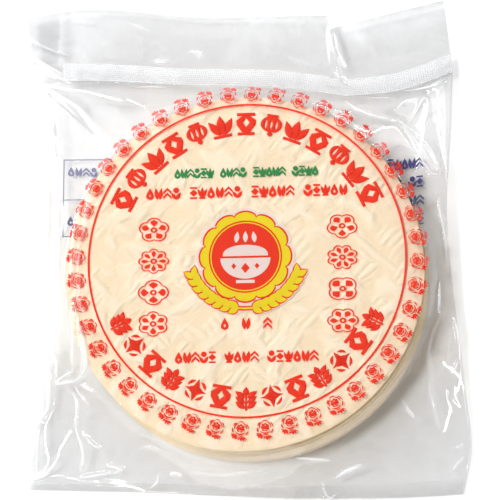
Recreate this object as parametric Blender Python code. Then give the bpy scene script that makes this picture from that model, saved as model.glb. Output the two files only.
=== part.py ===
"""Sealed clear bag with a stack of round rice papers inside.

The bag lies flat on its back.  Its origin is the middle of the flat underside
of the stack, +Y runs towards the heat-sealed header and +Z is up.
Lengths are metres.
"""
import math

import bmesh
import bpy

STACK_RADIUS = 0.080
STACK_HEIGHT = 0.025
RIM_ROLL = 0.0007          # how far the top sheets dip at their rim
RIM_ROLL_POWER = 10        # keeps that dip close to the rim

FILM_PAIR = 0.0012         # two films lying on each other
SEAL_WIDTH = 0.0085        # embossed heat seal below the header
HEADER_PUFF = 0.0016       # gap between the header's two open films

COLUMNS = 46               # grid cells across the bag
BODY_ROWS = 46             # cells from the bottom weld up to the heat seal
SEAL_ROWS = 2
HEADER_ROWS = 4
LEFT_COLUMNS = 34          # columns to the left of the header's pleat
RIM_RING = 0.42            # share of the grid that covers the stack

# Edges of the bag as (x, y, height of the two films where they meet).
LEFT_EDGE = (
    (-0.0996, -0.0927, 0.0016), (-0.0975, -0.062, 0.004), (-0.0920, -0.014, 0.011),
    (-0.0945, 0.015, 0.012), (-0.0972, 0.060, 0.010), (-0.0995, 0.0960, 0.008),
)
RIGHT_EDGE = (
    (0.0946, -0.0966, 0.0016), (0.0987, -0.076, 0.0035), (0.0963, -0.049, 0.006),
    (0.0900, 0.020, 0.0115), (0.0925, 0.070, 0.009), (0.0936, 0.0952, 0.007),
)
BOTTOM_EDGE = (
    (-0.0996, -0.0927, 0.0016), (-0.0447, -0.0946, 0.002), (0.0145, -0.0976, 0.002),
    (0.0667, -0.0980, 0.002), (0.0946, -0.0966, 0.0016),
)
# Lines that cross the bag, each left of the pleat and then right of it.
SEAL_LINE = (
    ((-0.0995, 0.0960, 0.008), (-0.068, 0.0945, 0.011), (-0.026, 0.0904, 0.013),
     (0.012, 0.0882, 0.014), (0.0440, 0.0836, 0.012)),
    ((0.0480, 0.0831, 0.0115), (0.0696, 0.0862, 0.010), (0.0936, 0.0952, 0.007)),
)
TOP_EDGE = (
    ((-0.1040, 0.1270, 0.006), (-0.0840, 0.1295, 0.008), (-0.0600, 0.1290, 0.009),
     (-0.0226, 0.1250, 0.008), (0.0367, 0.1228, 0.011)),
    ((0.0369, 0.1175, 0.006), (0.0630, 0.1230, 0.008), (0.0900, 0.1290, 0.008)),
)

# Tension folds of the skirt: direction in degrees, width in degrees, height.
SKIRT_FOLDS = (
    (24, 7, 0.0012), (51, 8, 0.0030), (68, 5, -0.0010), (112, 6, -0.0010),
    (131, 8, 0.0028), (158, 6, 0.0012), (203, 6, 0.0010), (222, 9, 0.0034),
    (243, 6, -0.0014), (266, 5, 0.0010), (293, 6, -0.0012), (315, 9, 0.0034),
    (338, 6, 0.0012),
)

FILM_COLOUR = (0.86, 0.85, 0.84, 1.0)
FILM_ROUGHNESS = 0.12


def mix(a, b, share):
    """Point between two points."""
    return tuple(p + (q - p) * share for p, q in zip(a, b))


def along(points, share):
    """Point on a smooth curve through the points, share 0 to 1 of its length."""
    lengths = [math.dist(a[:2], b[:2]) for a, b in zip(points, points[1:])]
    reach = share * sum(lengths)
    span = 0
    while span < len(lengths) - 1 and reach > lengths[span]:
        reach -= lengths[span]
        span += 1
    t = reach / lengths[span]
    before = points[max(span - 1, 0)]
    after = points[min(span + 2, len(points) - 1)]
    weights = (-t**3 + 2 * t**2 - t, 3 * t**3 - 5 * t**2 + 2,
               -3 * t**3 + 4 * t**2 + t, t**3 - t**2)
    corners = (before, points[span], points[span + 1], after)
    return tuple(sum(w * p[axis] for w, p in zip(weights, corners)) / 2 for axis in range(3))


def across(line, column):
    """Point of one column on a line that crosses the bag in two runs."""
    if column <= LEFT_COLUMNS:
        return along(line[0], column / LEFT_COLUMNS)
    first_right = LEFT_COLUMNS + 1
    return along(line[1], (column - first_right) / (COLUMNS - first_right))


def body_edge(u, v):
    """Point on the bag's outline below the header, for a point on the unit square's rim."""
    if v >= abs(u):
        return across(SEAL_LINE, round((u + 1) / 2 * COLUMNS))
    if -v >= abs(u):
        return along(BOTTOM_EDGE, (u + 1) / 2)
    return along(RIGHT_EDGE if u > 0 else LEFT_EDGE, (v + 1) / 2)


def skirt_fold(angle, share):
    """Height that the tension folds add to the skirt."""
    height = 0.0
    for direction, width, depth in SKIRT_FOLDS:
        turn = (math.degrees(angle) - direction + 180) % 360 - 180
        height += depth * math.exp(-(turn / width) ** 2)
    return height * math.sin(math.pi * share) ** 1.5


def stack_point(ring, angle):
    """Bottom and top points of the bag over the stack, ring 0 at its middle to 1 at its rim."""
    radius = STACK_RADIUS * (1 - (1 - ring) ** 1.5)
    x, y = radius * math.cos(angle), radius * math.sin(angle)
    top = STACK_HEIGHT - RIM_ROLL * ring ** RIM_ROLL_POWER
    return (x, y, 0.0), (x, y, top)


def skirt_point(share, angle, edge):
    """Bottom and top points of the film between the stack's rim and the bag's edge."""
    rim = (STACK_RADIUS * math.cos(angle), STACK_RADIUS * math.sin(angle))
    reach = math.hypot(edge[0] - rim[0], edge[1] - rim[1])
    slack = min(1.0, max(0.0, (reach - 0.012) / 0.060))
    x, y = mix(rim, edge[:2], share ** 1.2)
    run = share ** 1.2
    crest = STACK_HEIGHT - RIM_ROLL
    low_edge, high_edge = edge[2] - FILM_PAIR / 2, edge[2] + FILM_PAIR / 2
    top = high_edge + (crest - high_edge) * (1 - run) ** (1.1 + 0.9 * slack)
    top += skirt_fold(angle, run) * (0.25 + 0.75 * slack)
    bottom = low_edge * run ** (1.2 + slack)
    return (x, y, bottom), (x, y, max(top, bottom + FILM_PAIR))


def body_point(column, row):
    """Bottom and top points of the bag below the header."""
    u = 2 * column / COLUMNS - 1
    v = 2 * row / BODY_ROWS - 1
    ring = max(abs(u), abs(v))
    if ring == 0:
        return (0.0, 0.0, 0.0), (0.0, 0.0, STACK_HEIGHT)
    edge = body_edge(u / ring, v / ring)
    angle = math.atan2(edge[1], edge[0])
    if ring <= RIM_RING:
        return stack_point(ring / RIM_RING, angle)
    return skirt_point((ring - RIM_RING) / (1 - RIM_RING), angle, edge)


def header_point(column, row):
    """Bottom and top points of the heat seal and of the header above it."""
    seal_low = across(SEAL_LINE, column)
    top_edge = across(TOP_EDGE, column)
    length = math.dist(seal_low[:2], top_edge[:2])
    seal_high = mix(seal_low, top_edge, SEAL_WIDTH / length)
    if row <= SEAL_ROWS:
        x, y, z = mix(seal_low, seal_high, row / SEAL_ROWS)
        puff = 0.0
    else:
        share = (row - SEAL_ROWS) / HEADER_ROWS
        x, y, z = mix(seal_high, top_edge, share)
        puff = HEADER_PUFF * math.sin(math.pi * share) * math.sin(math.pi * column / COLUMNS)
    half = (FILM_PAIR + puff) / 2
    return (x, y, z - half), (x, y, z + half)


def film_material():
    """Clear glossy film with the pale print and food behind it."""
    material = bpy.data.materials.new("clear_film")
    material.use_nodes = True
    shader = material.node_tree.nodes["Principled BSDF"]
    shader.inputs["Base Color"].default_value = FILM_COLOUR
    shader.inputs["Roughness"].default_value = FILM_ROUGHNESS
    shader.inputs["Metallic"].default_value = 0.0
    return material


def sealed_bag(collection):
    """The whole pack as one closed solid: a grid given thickness and then laid over the stack."""
    rows = BODY_ROWS + SEAL_ROWS + HEADER_ROWS
    bm = bmesh.new()
    bmesh.ops.create_grid(bm, x_segments=COLUMNS, y_segments=rows, size=1)
    lower = list(bm.verts)
    grown = bmesh.ops.extrude_face_region(bm, geom=bm.faces[:])["geom"]
    upper = [item for item in grown if isinstance(item, bmesh.types.BMVert)]
    for layer, verts in enumerate((lower, upper)):
        for vert in verts:
            column = round((vert.co.x + 1) / 2 * COLUMNS)
            row = round((vert.co.y + 1) / 2 * rows)
            place = body_point if row <= BODY_ROWS else header_point
            local_row = row if row <= BODY_ROWS else row - BODY_ROWS
            vert.co = place(column, local_row)[layer]
    bmesh.ops.recalc_face_normals(bm, faces=bm.faces[:])
    mesh = bpy.data.meshes.new("sealed_bag")
    bm.to_mesh(mesh)
    bm.free()
    mesh.shade_smooth()
    mesh.set_sharp_from_angle(angle=math.radians(50))
    mesh.materials.append(film_material())
    bag = bpy.data.objects.new("sealed_bag", mesh)
    collection.objects.link(bag)
    return bag


def main():
    for item in list(bpy.data.objects):
        bpy.data.objects.remove(item, do_unlink=True)
    collection = bpy.data.collections.new("rice_paper_pack")
    bpy.context.scene.collection.children.link(collection)
    sealed_bag(collection)


main()
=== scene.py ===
"""Looks of a sealed clear bag of round rice papers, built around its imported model."""

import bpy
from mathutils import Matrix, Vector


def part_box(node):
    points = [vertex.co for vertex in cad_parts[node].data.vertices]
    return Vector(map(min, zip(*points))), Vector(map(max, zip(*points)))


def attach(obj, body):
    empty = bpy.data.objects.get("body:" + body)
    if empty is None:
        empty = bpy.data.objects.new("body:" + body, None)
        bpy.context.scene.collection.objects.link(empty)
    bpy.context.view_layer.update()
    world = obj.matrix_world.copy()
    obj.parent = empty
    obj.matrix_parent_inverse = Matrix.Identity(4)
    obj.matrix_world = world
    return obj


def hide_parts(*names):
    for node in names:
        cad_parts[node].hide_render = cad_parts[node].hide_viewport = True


bl_info = {
    "name": "Rice Paper Pack",
    "version": (1, 0, 0),
    "blender": (4, 5, 0),
    "location": "3D View > Sidebar > Rice Paper",
    "description": "Dresses a pack of round rice papers: sheets, clear film, heat seal and print",
    "category": "Object",
}

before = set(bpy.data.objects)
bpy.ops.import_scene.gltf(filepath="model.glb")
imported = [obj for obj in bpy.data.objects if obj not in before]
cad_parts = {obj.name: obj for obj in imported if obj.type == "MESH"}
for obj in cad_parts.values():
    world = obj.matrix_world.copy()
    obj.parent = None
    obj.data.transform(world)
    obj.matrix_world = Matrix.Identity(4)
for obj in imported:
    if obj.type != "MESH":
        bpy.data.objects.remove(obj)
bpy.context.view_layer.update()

import math

import bmesh
import bpy
import numpy as np
from bpy.props import FloatProperty, FloatVectorProperty, IntProperty, PointerProperty
from mathutils import Matrix, Vector, noise
from mathutils.bvhtree import BVHTree
from mathutils.geometry import delaunay_2d_cdt

BAG_LOW, BAG_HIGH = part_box("sealed_bag")
MM = 0.001
BODY = "root"

# ---------------------------------------------------------------- outline of the bag
# Edges of the bag as (x, y, height of the two films where they meet), in metres.
LEFT_EDGE = (
    (-0.0996, -0.0927, 0.0016), (-0.0975, -0.062, 0.004), (-0.0920, -0.014, 0.011),
    (-0.0945, 0.015, 0.012), (-0.0972, 0.060, 0.010), (-0.0995, 0.0960, 0.008),
)
RIGHT_EDGE = (
    (0.0946, -0.0966, 0.0016), (0.0987, -0.076, 0.0035), (0.0963, -0.049, 0.006),
    (0.0900, 0.020, 0.0115), (0.0925, 0.070, 0.009), (0.0936, 0.0952, 0.007),
)
BOTTOM_EDGE = (
    (-0.0996, -0.0927, 0.0016), (-0.0447, -0.0946, 0.002), (0.0145, -0.0976, 0.002),
    (0.0667, -0.0980, 0.002), (0.0946, -0.0966, 0.0016),
)
# Lines that cross the bag, each left of the header's pleat and then right of it.
SEAL_LINE = (
    ((-0.0995, 0.0960, 0.0085), (-0.068, 0.0945, 0.0115), (-0.026, 0.0904, 0.0143),
     (0.012, 0.0882, 0.0153), (0.0440, 0.0836, 0.0130)),
    ((0.0448, 0.0834, 0.0128), (0.0696, 0.0862, 0.010), (0.0936, 0.0952, 0.007)),
)
TOP_EDGE = (
    ((-0.1040, 0.1270, 0.0072), (-0.0840, 0.1295, 0.0086), (-0.0600, 0.1290, 0.0094),
     (-0.0226, 0.1250, 0.008), (0.0367, 0.1228, 0.011)),
    ((0.0369, 0.1175, 0.006), (0.0630, 0.1230, 0.008), (0.0900, 0.1290, 0.008)),
)
# Tension folds of the skirt: direction in degrees, width in degrees, height.
SKIRT_FOLDS = (
    (24, 7, 0.0012), (51, 8, 0.0030), (68, 5, -0.0010), (112, 6, -0.0010),
    (131, 8, 0.0028), (158, 6, 0.0012), (203, 6, 0.0010), (222, 9, 0.0034),
    (243, 6, -0.0014), (266, 5, 0.0010), (293, 6, -0.0008), (315, 9, 0.0016),
    (338, 6, 0.0008),
)
PLEAT_SHARE = 0.745        # how far along the seal the header's pleat lies
RIM_RING = 0.46            # share of the film's grid that covers the stack
RIM_CENTRE = (-0.0005, 0.0018)
RIM_RADIUS = 0.0808


class PackSizes(bpy.types.PropertyGroup):
    """Sizes of the pack that a maker would change."""

    sheet_radius: FloatProperty(
        name="Sheet radius", description="Radius of one rice paper",
        default=0.0803, min=0.02, unit="LENGTH")
    sheet_count: IntProperty(
        name="Sheets", description="Rice papers below the top one", default=79, min=1, max=150)
    sheet_thickness: FloatProperty(
        name="Sheet thickness", description="Thickness of one rice paper",
        default=0.00027, min=0.0001, unit="LENGTH")
    weave_pitch: FloatProperty(
        name="Weave pitch", description="Width of one slat of the drying mat's imprint",
        default=0.0036, min=0.001, unit="LENGTH")
    weave_depth: FloatProperty(
        name="Weave depth", description="Height of the drying mat's imprint",
        default=0.00040, min=0.0, unit="LENGTH")
    film_gap: FloatProperty(
        name="Film gap", description="Gap between the two films where they lie together",
        default=0.00016, min=0.00005, unit="LENGTH")
    seal_width: FloatProperty(
        name="Seal width", description="Width of the embossed heat seal",
        default=0.0085, min=0.002, unit="LENGTH")
    seal_pitch: FloatProperty(
        name="Seal pitch", description="Distance between the seal's embossed pads",
        default=0.00098, min=0.0005, unit="LENGTH")
    print_radius: FloatProperty(
        name="Print radius", description="Radius of the printed ring line",
        default=0.0709, min=0.02, unit="LENGTH")
    rosette_count: IntProperty(
        name="Rosettes", description="Roses printed around the ring", default=44, min=3, max=80)


class PackColours(bpy.types.PropertyGroup):
    """Colours of the pack that a maker would change."""

    rice_paper: FloatVectorProperty(
        name="Rice paper", description="Dried starch sheet", subtype="COLOR", size=4,
        default=(0.97, 0.845, 0.675, 1.0), min=0.0, max=1.0)
    # Painted light: a lighter copy of the rice paper's colour that brightens the stack's side.
    sheet_edge: FloatVectorProperty(
        name="Sheet edges", description="Rice paper seen on its cut edges", subtype="COLOR",
        size=4, default=(1.0, 0.90, 0.71, 1.0), min=0.0, max=1.0)
    red_ink: FloatVectorProperty(
        name="Red ink", description="Main print colour", subtype="COLOR", size=4,
        default=(0.99, 0.062, 0.018, 1.0), min=0.0, max=1.0)
    yellow_ink: FloatVectorProperty(
        name="Yellow ink", description="Medallion's border", subtype="COLOR", size=4,
        default=(1.0, 0.93, 0.03, 1.0), min=0.0, max=1.0)
    green_ink: FloatVectorProperty(
        name="Green ink", description="Upper row of marks", subtype="COLOR", size=4,
        default=(0.06, 0.42, 0.12, 1.0), min=0.0, max=1.0)
    blue_ink: FloatVectorProperty(
        name="Blue ink", description="Print on the back film", subtype="COLOR", size=4,
        default=(0.10, 0.11, 0.36, 1.0), min=0.0, max=1.0)
    white_ink: FloatVectorProperty(
        name="White ink", description="Backing of the medallion", subtype="COLOR", size=4,
        default=(1.0, 0.95, 0.89, 1.0), min=0.0, max=1.0)
    film_tint: FloatVectorProperty(
        name="Film tint", description="Light that one film lets through", subtype="COLOR",
        size=4, default=(0.917, 0.916, 0.916, 1.0), min=0.0, max=1.0)


def sizes():
    return bpy.context.scene.pack_sizes


def colours():
    return bpy.context.scene.pack_colours


# ---------------------------------------------------------------- curves and surfaces
def along(points, share):
    """Points on a smooth curve through the given ones, share 0 to 1 of its length (array)."""
    pts = np.asarray(points, float)
    lengths = np.hypot(*(np.diff(pts[:, :2], axis=0).T))
    ends = np.concatenate(([0.0], np.cumsum(lengths)))
    reach = np.clip(np.asarray(share, float), 0, 1) * ends[-1]
    span = np.clip(np.searchsorted(ends, reach, side="right") - 1, 0, len(lengths) - 1)
    t = ((reach - ends[span]) / lengths[span])[..., None]
    before = pts[np.maximum(span - 1, 0)]
    after = pts[np.minimum(span + 2, len(pts) - 1)]
    return (before * (-t**3 + 2 * t**2 - t) + pts[span] * (3 * t**3 - 5 * t**2 + 2)
            + pts[span + 1] * (-3 * t**3 + 4 * t**2 + t) + after * (t**3 - t**2)) / 2


def across(line, share):
    """Points on a line that crosses the bag in two runs, one on each side of the pleat."""
    share = np.asarray(share, float)
    left = along(line[0], share / PLEAT_SHARE)
    right = along(line[1], (share - PLEAT_SHARE) / (1 - PLEAT_SHARE))
    return np.where((share <= PLEAT_SHARE)[..., None], left, right)


def mix(a, b, share):
    return a + (b - a) * share


def skirt_folds(angle, run):
    """Height that the tension folds add to the skirt."""
    height = np.zeros_like(angle)
    for direction, width, depth in SKIRT_FOLDS:
        turn = (np.degrees(angle) - direction + 180) % 360 - 180
        height += depth * np.exp(-((turn / width) ** 2))
    return height * np.sin(math.pi * run) ** 1.5


def body_films(u, v):
    """Points of the back and the front film below the header, for points of the unit square."""
    ring = np.maximum(np.maximum(np.abs(u), np.abs(v)), 1e-9)
    du, dv = u / ring, v / ring
    edge = np.where((du > 0)[..., None], along(RIGHT_EDGE, (dv + 1) / 2),
                    along(LEFT_EDGE, (dv + 1) / 2))
    low_side = (-dv >= np.abs(du))[..., None]
    high_side = (dv >= np.abs(du))[..., None]
    edge = np.where(low_side, along(BOTTOM_EDGE, (du + 1) / 2), edge)
    edge = np.where(high_side, across(SEAL_LINE, (du + 1) / 2), edge)
    edge = edge - (*RIM_CENTRE, 0.0)
    angle = np.arctan2(edge[..., 1], edge[..., 0])
    outward = np.stack((np.cos(angle), np.sin(angle)), -1)
    over = np.clip(ring / RIM_RING, 0, 1)
    radius = RIM_RADIUS * (1 - (1 - over) ** 1.5)
    crest = BAG_HIGH.z - 0.0007
    share = np.clip((ring - RIM_RING) / (1 - RIM_RING), 0, 1)
    run = share ** 1.2
    reach = np.hypot(edge[..., 0] - RIM_RADIUS * outward[..., 0],
                     edge[..., 1] - RIM_RADIUS * outward[..., 1])
    slack = np.clip((reach - 0.012) / 0.060, 0, 1)
    flat = mix(outward * radius[..., None], edge[..., :2], run[..., None])
    half = sizes().film_gap / 2
    # Towards the header the film stays up for longer and then drops to the seal.
    lifted = np.clip((np.sin(angle) - 0.55) / 0.25, 0, 1) * (1 - slack)
    fall = mix(run, run ** 1.9, lifted)
    top = mix(crest, edge[..., 2] + half, 1 - (1 - fall) ** (1.1 + 0.9 * slack))
    top += skirt_folds(angle, run) * (0.25 + 0.75 * slack)
    flat = flat + RIM_CENTRE
    inside = ring <= RIM_RING
    top = np.where(inside, BAG_HIGH.z - 0.0002 - 0.0005 * over ** 10, top)
    bottom = np.where(inside, 0.0, (edge[..., 2] - half) * run ** (1.2 + slack))
    return flat, bottom, np.maximum(top, bottom + 2 * half), share


def header_films(column, row):
    """Points of the back and the front film of the heat seal and of the header, by shares."""
    seal = across(SEAL_LINE, column)
    top = across(TOP_EDGE, column)
    length = np.hypot(*(top - seal)[..., :2].T).T
    seal_share = sizes().seal_width / length
    place = mix(seal, top, row[..., None])
    open_share = np.clip((row - seal_share) / (1 - seal_share), 0, 1)
    half = sizes().film_gap / 2
    puff = 0.0014 * np.sin(math.pi * open_share) * np.sin(math.pi * np.clip(column, 0, 1))
    return place[..., :2], place[..., 2] - half - puff / 2, place[..., 2] + half + puff / 2, open_share


# ---------------------------------------------------------------- wrinkles of the film
# Creases of the front film in millimetres: height, half width at both ends, then points.
CREASES = (
    # left shoulder and the fold beside it
    (1.5, 1.0, 5.0, ((-93, 91.5), (-86, 87), (-78, 81), (-71, 72), (-64, 61))),
    (0.7, 1.6, 1.6, ((-90.5, 90), (-90, 67), (-88, 38), (-85, 9), (-85, -16))),
    (0.6, 1.0, 0.6, ((-91.5, 74), (-89.5, 69), (-86, 66))),
    (0.5, 0.8, 0.8, ((-89.5, 62), (-87.5, 58), (-85.5, 59))),
    (0.8, 1.0, 2.2, ((-84, 36), (-82.5, 28), (-83.5, 20))),
    # double fold over the left rim and its hook
    (0.45, 0.7, 0.9, ((-69.5, 39), (-71.5, 28), (-73, 17), (-74.5, 14.5))),
    (0.35, 0.6, 0.6, ((-75, 30), (-77, 17), (-77.5, 3), (-76.5, -6), (-75.5, -10))),
    (0.50, 0.7, 0.8, ((-75, 17), (-74.5, 3), (-74.5, -8), (-76, -11))),
    (0.45, 0.7, 0.8, ((-76, -10), (-73.5, -13), (-71.5, -15.5))),
    (0.45, 0.6, 0.7, ((-76.5, -10), (-77, -26), (-78, -42))),
    (0.95, 1.0, 1.8, ((-76, -14), (-74, -22), (-72, -29), (-71, -36), (-72, -42), (-77, -46.5))),
    (0.80, 0.9, 1.2, ((-77.5, -41.5), (-84, -44), (-86, -46), (-80, -46), (-76, -46))),
    (0.7, 1.2, 0.9, ((-92, -17), (-89.5, -26), (-88.5, -34), (-86, -37), (-86.5, -44))),
    (0.5, 0.7, 0.7, ((-77, -48), (-74.5, -52), (-71.5, -56))),
    (0.5, 0.7, 0.7, ((-78, -51), (-76.5, -56), (-76.5, -64))),
    (0.9, 1.0, 2.2, ((-90.5, -31), (-90.5, -53), (-92, -58), (-96, -62))),
    (0.8, 1.3, 1.0, ((-74, -48), (-71, -49.5), (-67.5, -51.5))),
    (1.0, 0.9, 1.4, ((-98, -88), (-92, -86), (-85.5, -79))),
    (0.5, 0.8, 0.8, ((-96.6, -43.6), (-96.7, -52.5), (-97.3, -60.5))),
    (0.9, 1.4, 0.9, ((-98, -65), (-95.8, -61.9), (-92.4, -59.9))),
    (0.9, 0.6, 1.5, ((-77.6, -62), (-76.2, -68.3), (-74.7, -73.5), (-74.2, -78.5), (-75.7, -84.4))),
    (0.5, 1.0, 0.7, ((-72.2, -71), (-69.2, -74), (-65.7, -75.8))),
    # right shoulder: band's lower edge, broad fold, leaf and loop
    (0.7, 0.6, 1.6, ((73, 86), (82, 87.5), (86, 89.5), (89.5, 91.5))),
    (0.4, 0.6, 0.7, ((54, 82), (61, 82), (68, 81.5))),
    (1.2, 0.9, 2.2, ((45, 80), (49.5, 75.5), (56, 72), (65, 70), (70, 69.5))),
    (0.8, 0.9, 1.0, ((69.5, 68.5), (74.5, 61), (78, 54), (81.5, 48), (84, 45.5), (88, 46.5))),
    (1.3, 1.6, 3.2, ((71, 68), (77, 60), (81, 54), (85, 48))),
    (0.7, 0.8, 0.8, ((69.2, 69.7), (74, 66.2), (79.8, 61.5), (84, 55.2), (87, 46.4))),
    (0.7, 0.9, 0.8, ((73, 69), (76.5, 74), (79.5, 80.5), (81.5, 81.5), (82, 78), (81, 72),
                     (79, 67), (78, 63.5))),
    (0.6, 1.0, 1.0, ((68.4, 76), (72.4, 80), (78.7, 81.2))),
    (0.8, 0.7, 1.0, ((86.3, 35.4), (86.4, 29), (87.6, 23.6), (88.8, 17), (89.1, 10))),
    (0.4, 0.8, 0.7, ((89.8, 24), (89.2, 17.5), (89, 5.5))),
    # right side
    (1.0, 0.6, 1.6, ((86, -4), (86, -10), (85.5, -18))),
    (0.7, 0.8, 1.0, ((92, -19), (93.5, -26), (93.5, -30))),
    (0.7, 0.9, 0.7, ((93, -39), (91.5, -43.5))),
    (0.25, 0.8, 0.8, ((88.8, -51.4), (90.4, -55.7), (93.9, -59))),
    (0.3, 0.8, 0.8, ((89.7, -26), (89.6, -31.6), (88.2, -39), (87.2, -43.6))),
    (0.3, 1.4, 1.4, ((80.2, -48.5), (81.7, -56), (83.7, -64.7), (85.4, -69))),
    (0.25, 1.0, 1.0, ((82.2, -36.7), (82.8, -45.3), (83.9, -53.8))),
    (0.3, 1.4, 2.0, ((84.5, -22), (81, -35), (82, -52), (84, -62))),
    (0.6, 0.7, 0.7, ((69, -57), (71, -60.5), (74, -64))),
    (0.6, 0.6, 0.9, ((90.9, -76.2), (93.1, -75.7), (95.3, -74.8))),
    (0.5, 0.7, 0.8, ((95.2, -80), (92, -83.5), (90.2, -86.6))),
    # valley under the band
    (-1.0, 1.4, 1.4, ((-83, 94.5), (-60, 92.5), (-40, 91))),
    (-0.8, 1.4, 1.4, ((45, 83.5), (70, 85), (88, 91))),
    (0.5, 0.8, 0.8, ((-75, 95.5), (-70, 95))),
    (0.5, 0.7, 0.7, ((-53, 93.5), (-49, 93.5))),
    (0.5, 0.7, 0.8, ((-52, 90.5), (-45, 90.3), (-38, 89.5))),
    # foot
    (0.6, 0.7, 0.7, ((21.6, -81.7), (29, -81.9), (37, -82.4))),
    (0.7, 0.7, 0.7, ((32.6, -90.7), (33.6, -95.6), (36.2, -97.6), (38.5, -96.1))),
    (0.9, 0.9, 1.6, ((38.8, -89.5), (43.3, -86.6), (50.5, -84.1))),
    (0.6, 0.8, 1.0, ((-35.4, -87), (-32, -86.6), (-29.6, -87.9))),
    (0.6, 0.7, 0.7, ((-40.5, -86.8), (-41.3, -90.1), (-44.7, -93))),
    (0.4, 0.6, 0.7, ((-48.6, -76.8), (-43.7, -75.4), (-38.2, -76.8))),
    (0.8, 0.8, 0.9, ((-64, -82.9), (-59.5, -83.8), (-56.5, -85.2))),
    (0.7, 0.8, 0.7, ((-60.7, -86.3), (-58.3, -85.1), (-56.3, -83.9))),
    (0.5, 0.6, 0.7, ((-76.4, -87.8), (-70.8, -87), (-65.3, -86.3), (-61.5, -85.5))),
    (0.3, 1.2, 1.2, ((-24, -86.5), (-10, -88), (6, -86.5))),
)
# Creases of the header, which both films share.
HEADER_CREASES = (
    (1.0, 0.9, 1.3, ((38.5, 117), (39.5, 107), (41.5, 102), (44, 98))),
    (0.6, 0.7, 0.7, ((37.5, 117), (38, 106), (38, 98))),
    (0.8, 1.0, 1.3, ((40, 95), (43, 91.5), (46, 89))),
    (0.5, 0.9, 0.9, ((-102, 116), (-91, 110.5), (-84, 108))),
    (0.4, 0.9, 0.9, ((-81, 124.5), (-71, 122.5))),
    (0.4, 1.2, 0.9, ((-56, 123), (-45, 117))),
    (0.7, 1.0, 1.0, ((-26, 107), (-22.5, 106.5), (-21, 103.5))),
    (0.6, 1.2, 1.2, ((-42, 102.5), (-37, 103))),
    (0.7, 1.0, 0.9, ((-101, 108), (-93, 103), (-83, 96.5))),
    (0.6, 0.8, 0.8, ((-94, 100), (-88, 97), (-83, 94.5))),
    (0.4, 0.9, 0.9, ((18, 103), (23, 100.5), (27, 99))),
    (0.15, 3.5, 3.5, ((-86, 128), (-86, 112), (-85, 98))),
    (0.4, 4.0, 4.0, ((50, 116), (56, 108), (60, 98))),
)


def line_distance(x, y, path):
    """Distance to a smooth line and the share of its length at the nearest place."""
    pts = along([(*p, 0) for p in path], np.linspace(0, 1, 5 * len(path)))[:, :2]
    best = np.full(x.shape, 1e9)
    where = np.zeros(x.shape)
    spans = len(pts) - 1
    for index in range(spans):
        a, b = pts[index], pts[index + 1]
        d = b - a
        t = np.clip(((x - a[0]) * d[0] + (y - a[1]) * d[1]) / (d @ d), 0, 1)
        gap = np.hypot(x - a[0] - t * d[0], y - a[1] - t * d[1])
        nearer = gap < best
        best = np.where(nearer, gap, best)
        where = np.where(nearer, (index + t) / spans, where)
    return best, where


def creases(x, y, table):
    """Summed height of the creases at the points, in metres, and a painted highlight along their
    raised ridges.
    """
    total = np.zeros(x.shape)
    painted_highlight = np.zeros(x.shape)
    px, py = x / MM, y / MM
    for height, first, last, path in table:
        line = np.array(path)
        reach = 5 * max(first, last)
        near = ((px > line[:, 0].min() - reach) & (px < line[:, 0].max() + reach)
                & (py > line[:, 1].min() - reach) & (py < line[:, 1].max() + reach))
        gap, where = line_distance(px[near], py[near], path)
        width = mix(first, last, where)
        taper = np.sin(math.pi * mix(0.12, 0.88, where))
        bump = (1 + (gap / width) ** 2) ** -1.5 * np.clip(1.25 - gap / reach, 0, 1)
        total[near] += height * MM * bump * taper
        # Painted highlight: each raised crease gets a white line along its ridge.
        if height > 0:
            highlight_strength = np.clip(2.2 * height - 0.3, 0.1, 1) * np.clip(1.3 / width, 0.3, 1) * taper
            painted_highlight[near] = np.maximum(painted_highlight[near], highlight_strength * np.exp(-(gap / width / 0.5) ** 2))
    return total, painted_highlight


def waves(x, y, cell, seed):
    """Soft rolling waves, about -1 to 1."""
    out = np.zeros(x.shape)
    for index in np.ndindex(x.shape):
        out[index] = noise.noise(Vector((x[index] / cell, y[index] / cell, seed)))
    return out


# ---------------------------------------------------------------- mesh helpers
def make_piece(name, verts, faces, material, smooth_angle=60):
    mesh = bpy.data.meshes.new(name)
    mesh.from_pydata([tuple(v) for v in verts], [], faces)
    return finish_mesh(name, mesh, material, smooth_angle)


def finish_mesh(name, mesh, material, smooth_angle=60):
    """Links a mesh as a piece with one material, smooth shading and sharp edges."""
    mesh.materials.clear()
    mesh.materials.append(material)
    mesh.shade_smooth()
    mesh.set_sharp_from_angle(angle=math.radians(smooth_angle))
    piece = bpy.data.objects.new(name, mesh)
    bpy.context.scene.collection.objects.link(piece)
    return piece


def point_outward(mesh):
    """Turns every face of a closed mesh outwards."""
    bm = bmesh.new()
    bm.from_mesh(mesh)
    bmesh.ops.recalc_face_normals(bm, faces=bm.faces[:])
    bm.to_mesh(mesh)
    bm.free()


def carry(piece):
    """The piece rides on the pack."""
    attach(piece, BODY)
    return piece


# ---------------------------------------------------------------- geometry node helpers
def node_tree(name, inputs):
    """A geometry node tree with a mesh in, a mesh out and named inputs."""
    tree = bpy.data.node_groups.new(name, "GeometryNodeTree")
    tree.interface.new_socket("Geometry", in_out="INPUT", socket_type="NodeSocketGeometry")
    for label, kind, default in inputs:
        socket = tree.interface.new_socket(label, in_out="INPUT", socket_type=kind)
        if default is not None:
            socket.default_value = default
    tree.interface.new_socket("Geometry", in_out="OUTPUT", socket_type="NodeSocketGeometry")
    source = tree.nodes.new("NodeGroupInput")
    sink = tree.nodes.new("NodeGroupOutput")
    return tree, source, sink


def add_node(tree, kind, links=None, **settings):
    """A node with its settings, and its inputs set to values or linked to sockets."""
    node = tree.nodes.new(kind)
    for key, value in settings.items():
        setattr(node, key, value)
    for key, value in (links or {}).items():
        socket = node.inputs[key]
        if isinstance(value, bpy.types.NodeSocket):
            tree.links.new(value, socket)
        else:
            socket.default_value = value
    return node


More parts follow.
